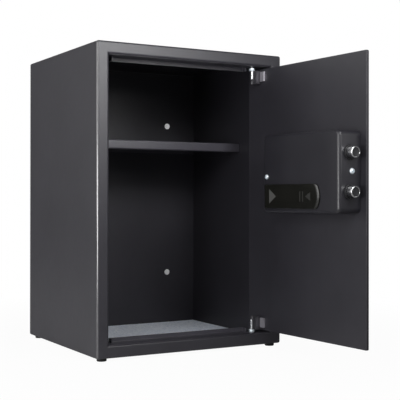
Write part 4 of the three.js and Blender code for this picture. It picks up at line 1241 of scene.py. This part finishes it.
def softbox(name, place, target, size, power, beam=180):
    """A rectangular lamp at a place, facing a target, in metres, watts and degrees of spread."""
    light = bpy.data.lights.new(name, "AREA")
    light.shape = "RECTANGLE"
    light.size, light.size_y = size
    light.energy = power
    light.spread = math.radians(beam)
    lamp = bpy.data.objects.new(name, light)
    bpy.context.scene.collection.objects.link(lamp)
    lamp.location = place
    lamp.rotation_mode = "QUATERNION"
    lamp.rotation_quaternion = (Vector(target) - Vector(place)).to_track_quat("-Z", "Y")


def lights():
    """Small lamps in front of the safe, and large ones on its left, from its front to its back."""
    front = (-0.16, -0.155, 0.46)  # the flange's upper left corner
    side = (-0.17, -0.1, 0.45)  # the left side, high and lower down
    low = (-0.17, -0.1, 0.3)
    softbox("front_high", (-0.02, -0.95, 0.80), front, (0.4, 0.3), 1.55, 80)
    softbox("front_middle", (0.16, -0.89, 0.62), front, (0.35, 0.25), 0.3, 80)
    softbox("front_right", (0.34, -0.95, 0.50), front, (0.35, 0.35), 0.2, 80)
    softbox("left_front", (-1.9, -1.9, 1.2), low, (1.2, 1.2), 14)
    softbox("left_low", (-1.8, -0.9, 0.22), low, (1.0, 0.4), 13)
    softbox("left_panel", (-2.1, 0.4, 0.85), side, (0.7, 1.4), 14)
    softbox("left_back", (-1.55, 1.35, 0.85), side, (0.7, 1.4), 4.5)


# The camera as it was solved from the picture, which is 400 pixels wide and high
IMAGE_WIDTH = 400
FOCAL_PIXELS = 936.6
LENS_AXIS = (205.85, 192.80)  # in pixels from the picture's left and top
SENSOR = 36.0
CAMERA_PLACE = Vector((-755.83, -1505.56, 255.32)) * MM
CAMERA_TURN = math.radians(29.96)
CAMERA_PITCH = math.radians(0.218)
CAMERA_ROLL = math.radians(0.059)


def camera():
    data = bpy.data.cameras.new("camera")
    data.sensor_width = SENSOR
    data.lens = FOCAL_PIXELS / IMAGE_WIDTH * SENSOR
    data.shift_x = 0.5 - LENS_AXIS[0] / IMAGE_WIDTH
    data.shift_y = LENS_AXIS[1] / IMAGE_WIDTH - 0.5
    viewer = bpy.data.objects.new("camera", data)
    bpy.context.scene.collection.objects.link(viewer)
    ahead = Vector((
        math.sin(CAMERA_TURN) * math.cos(CAMERA_PITCH),
        math.cos(CAMERA_TURN) * math.cos(CAMERA_PITCH),
        math.sin(CAMERA_PITCH),
    ))
    across = Vector((math.cos(CAMERA_TURN), -math.sin(CAMERA_TURN), 0))
    upward = across.cross(ahead)
    right = math.cos(CAMERA_ROLL) * across + math.sin(CAMERA_ROLL) * upward
    top = math.cos(CAMERA_ROLL) * upward - math.sin(CAMERA_ROLL) * across
    turn = Matrix((right, top, -ahead)).transposed().to_4x4()
    viewer.matrix_world = Matrix.Translation(CAMERA_PLACE) @ turn
    bpy.context.scene.camera = viewer


cabinet_body()
folded_pieces()
felt_mat()
anchor_plugs()
feet()
hinge_hardware()
door_plate()
case_cover()
bolt_collars()
bolts()
case_screws()
battery_lid()
knob()
keypad_front()
key_caps()
lock_flap()
kept_nodes()
ground()
studio()
lights()
camera()
bpy.context.scene.view_settings.view_transform = "Standard"
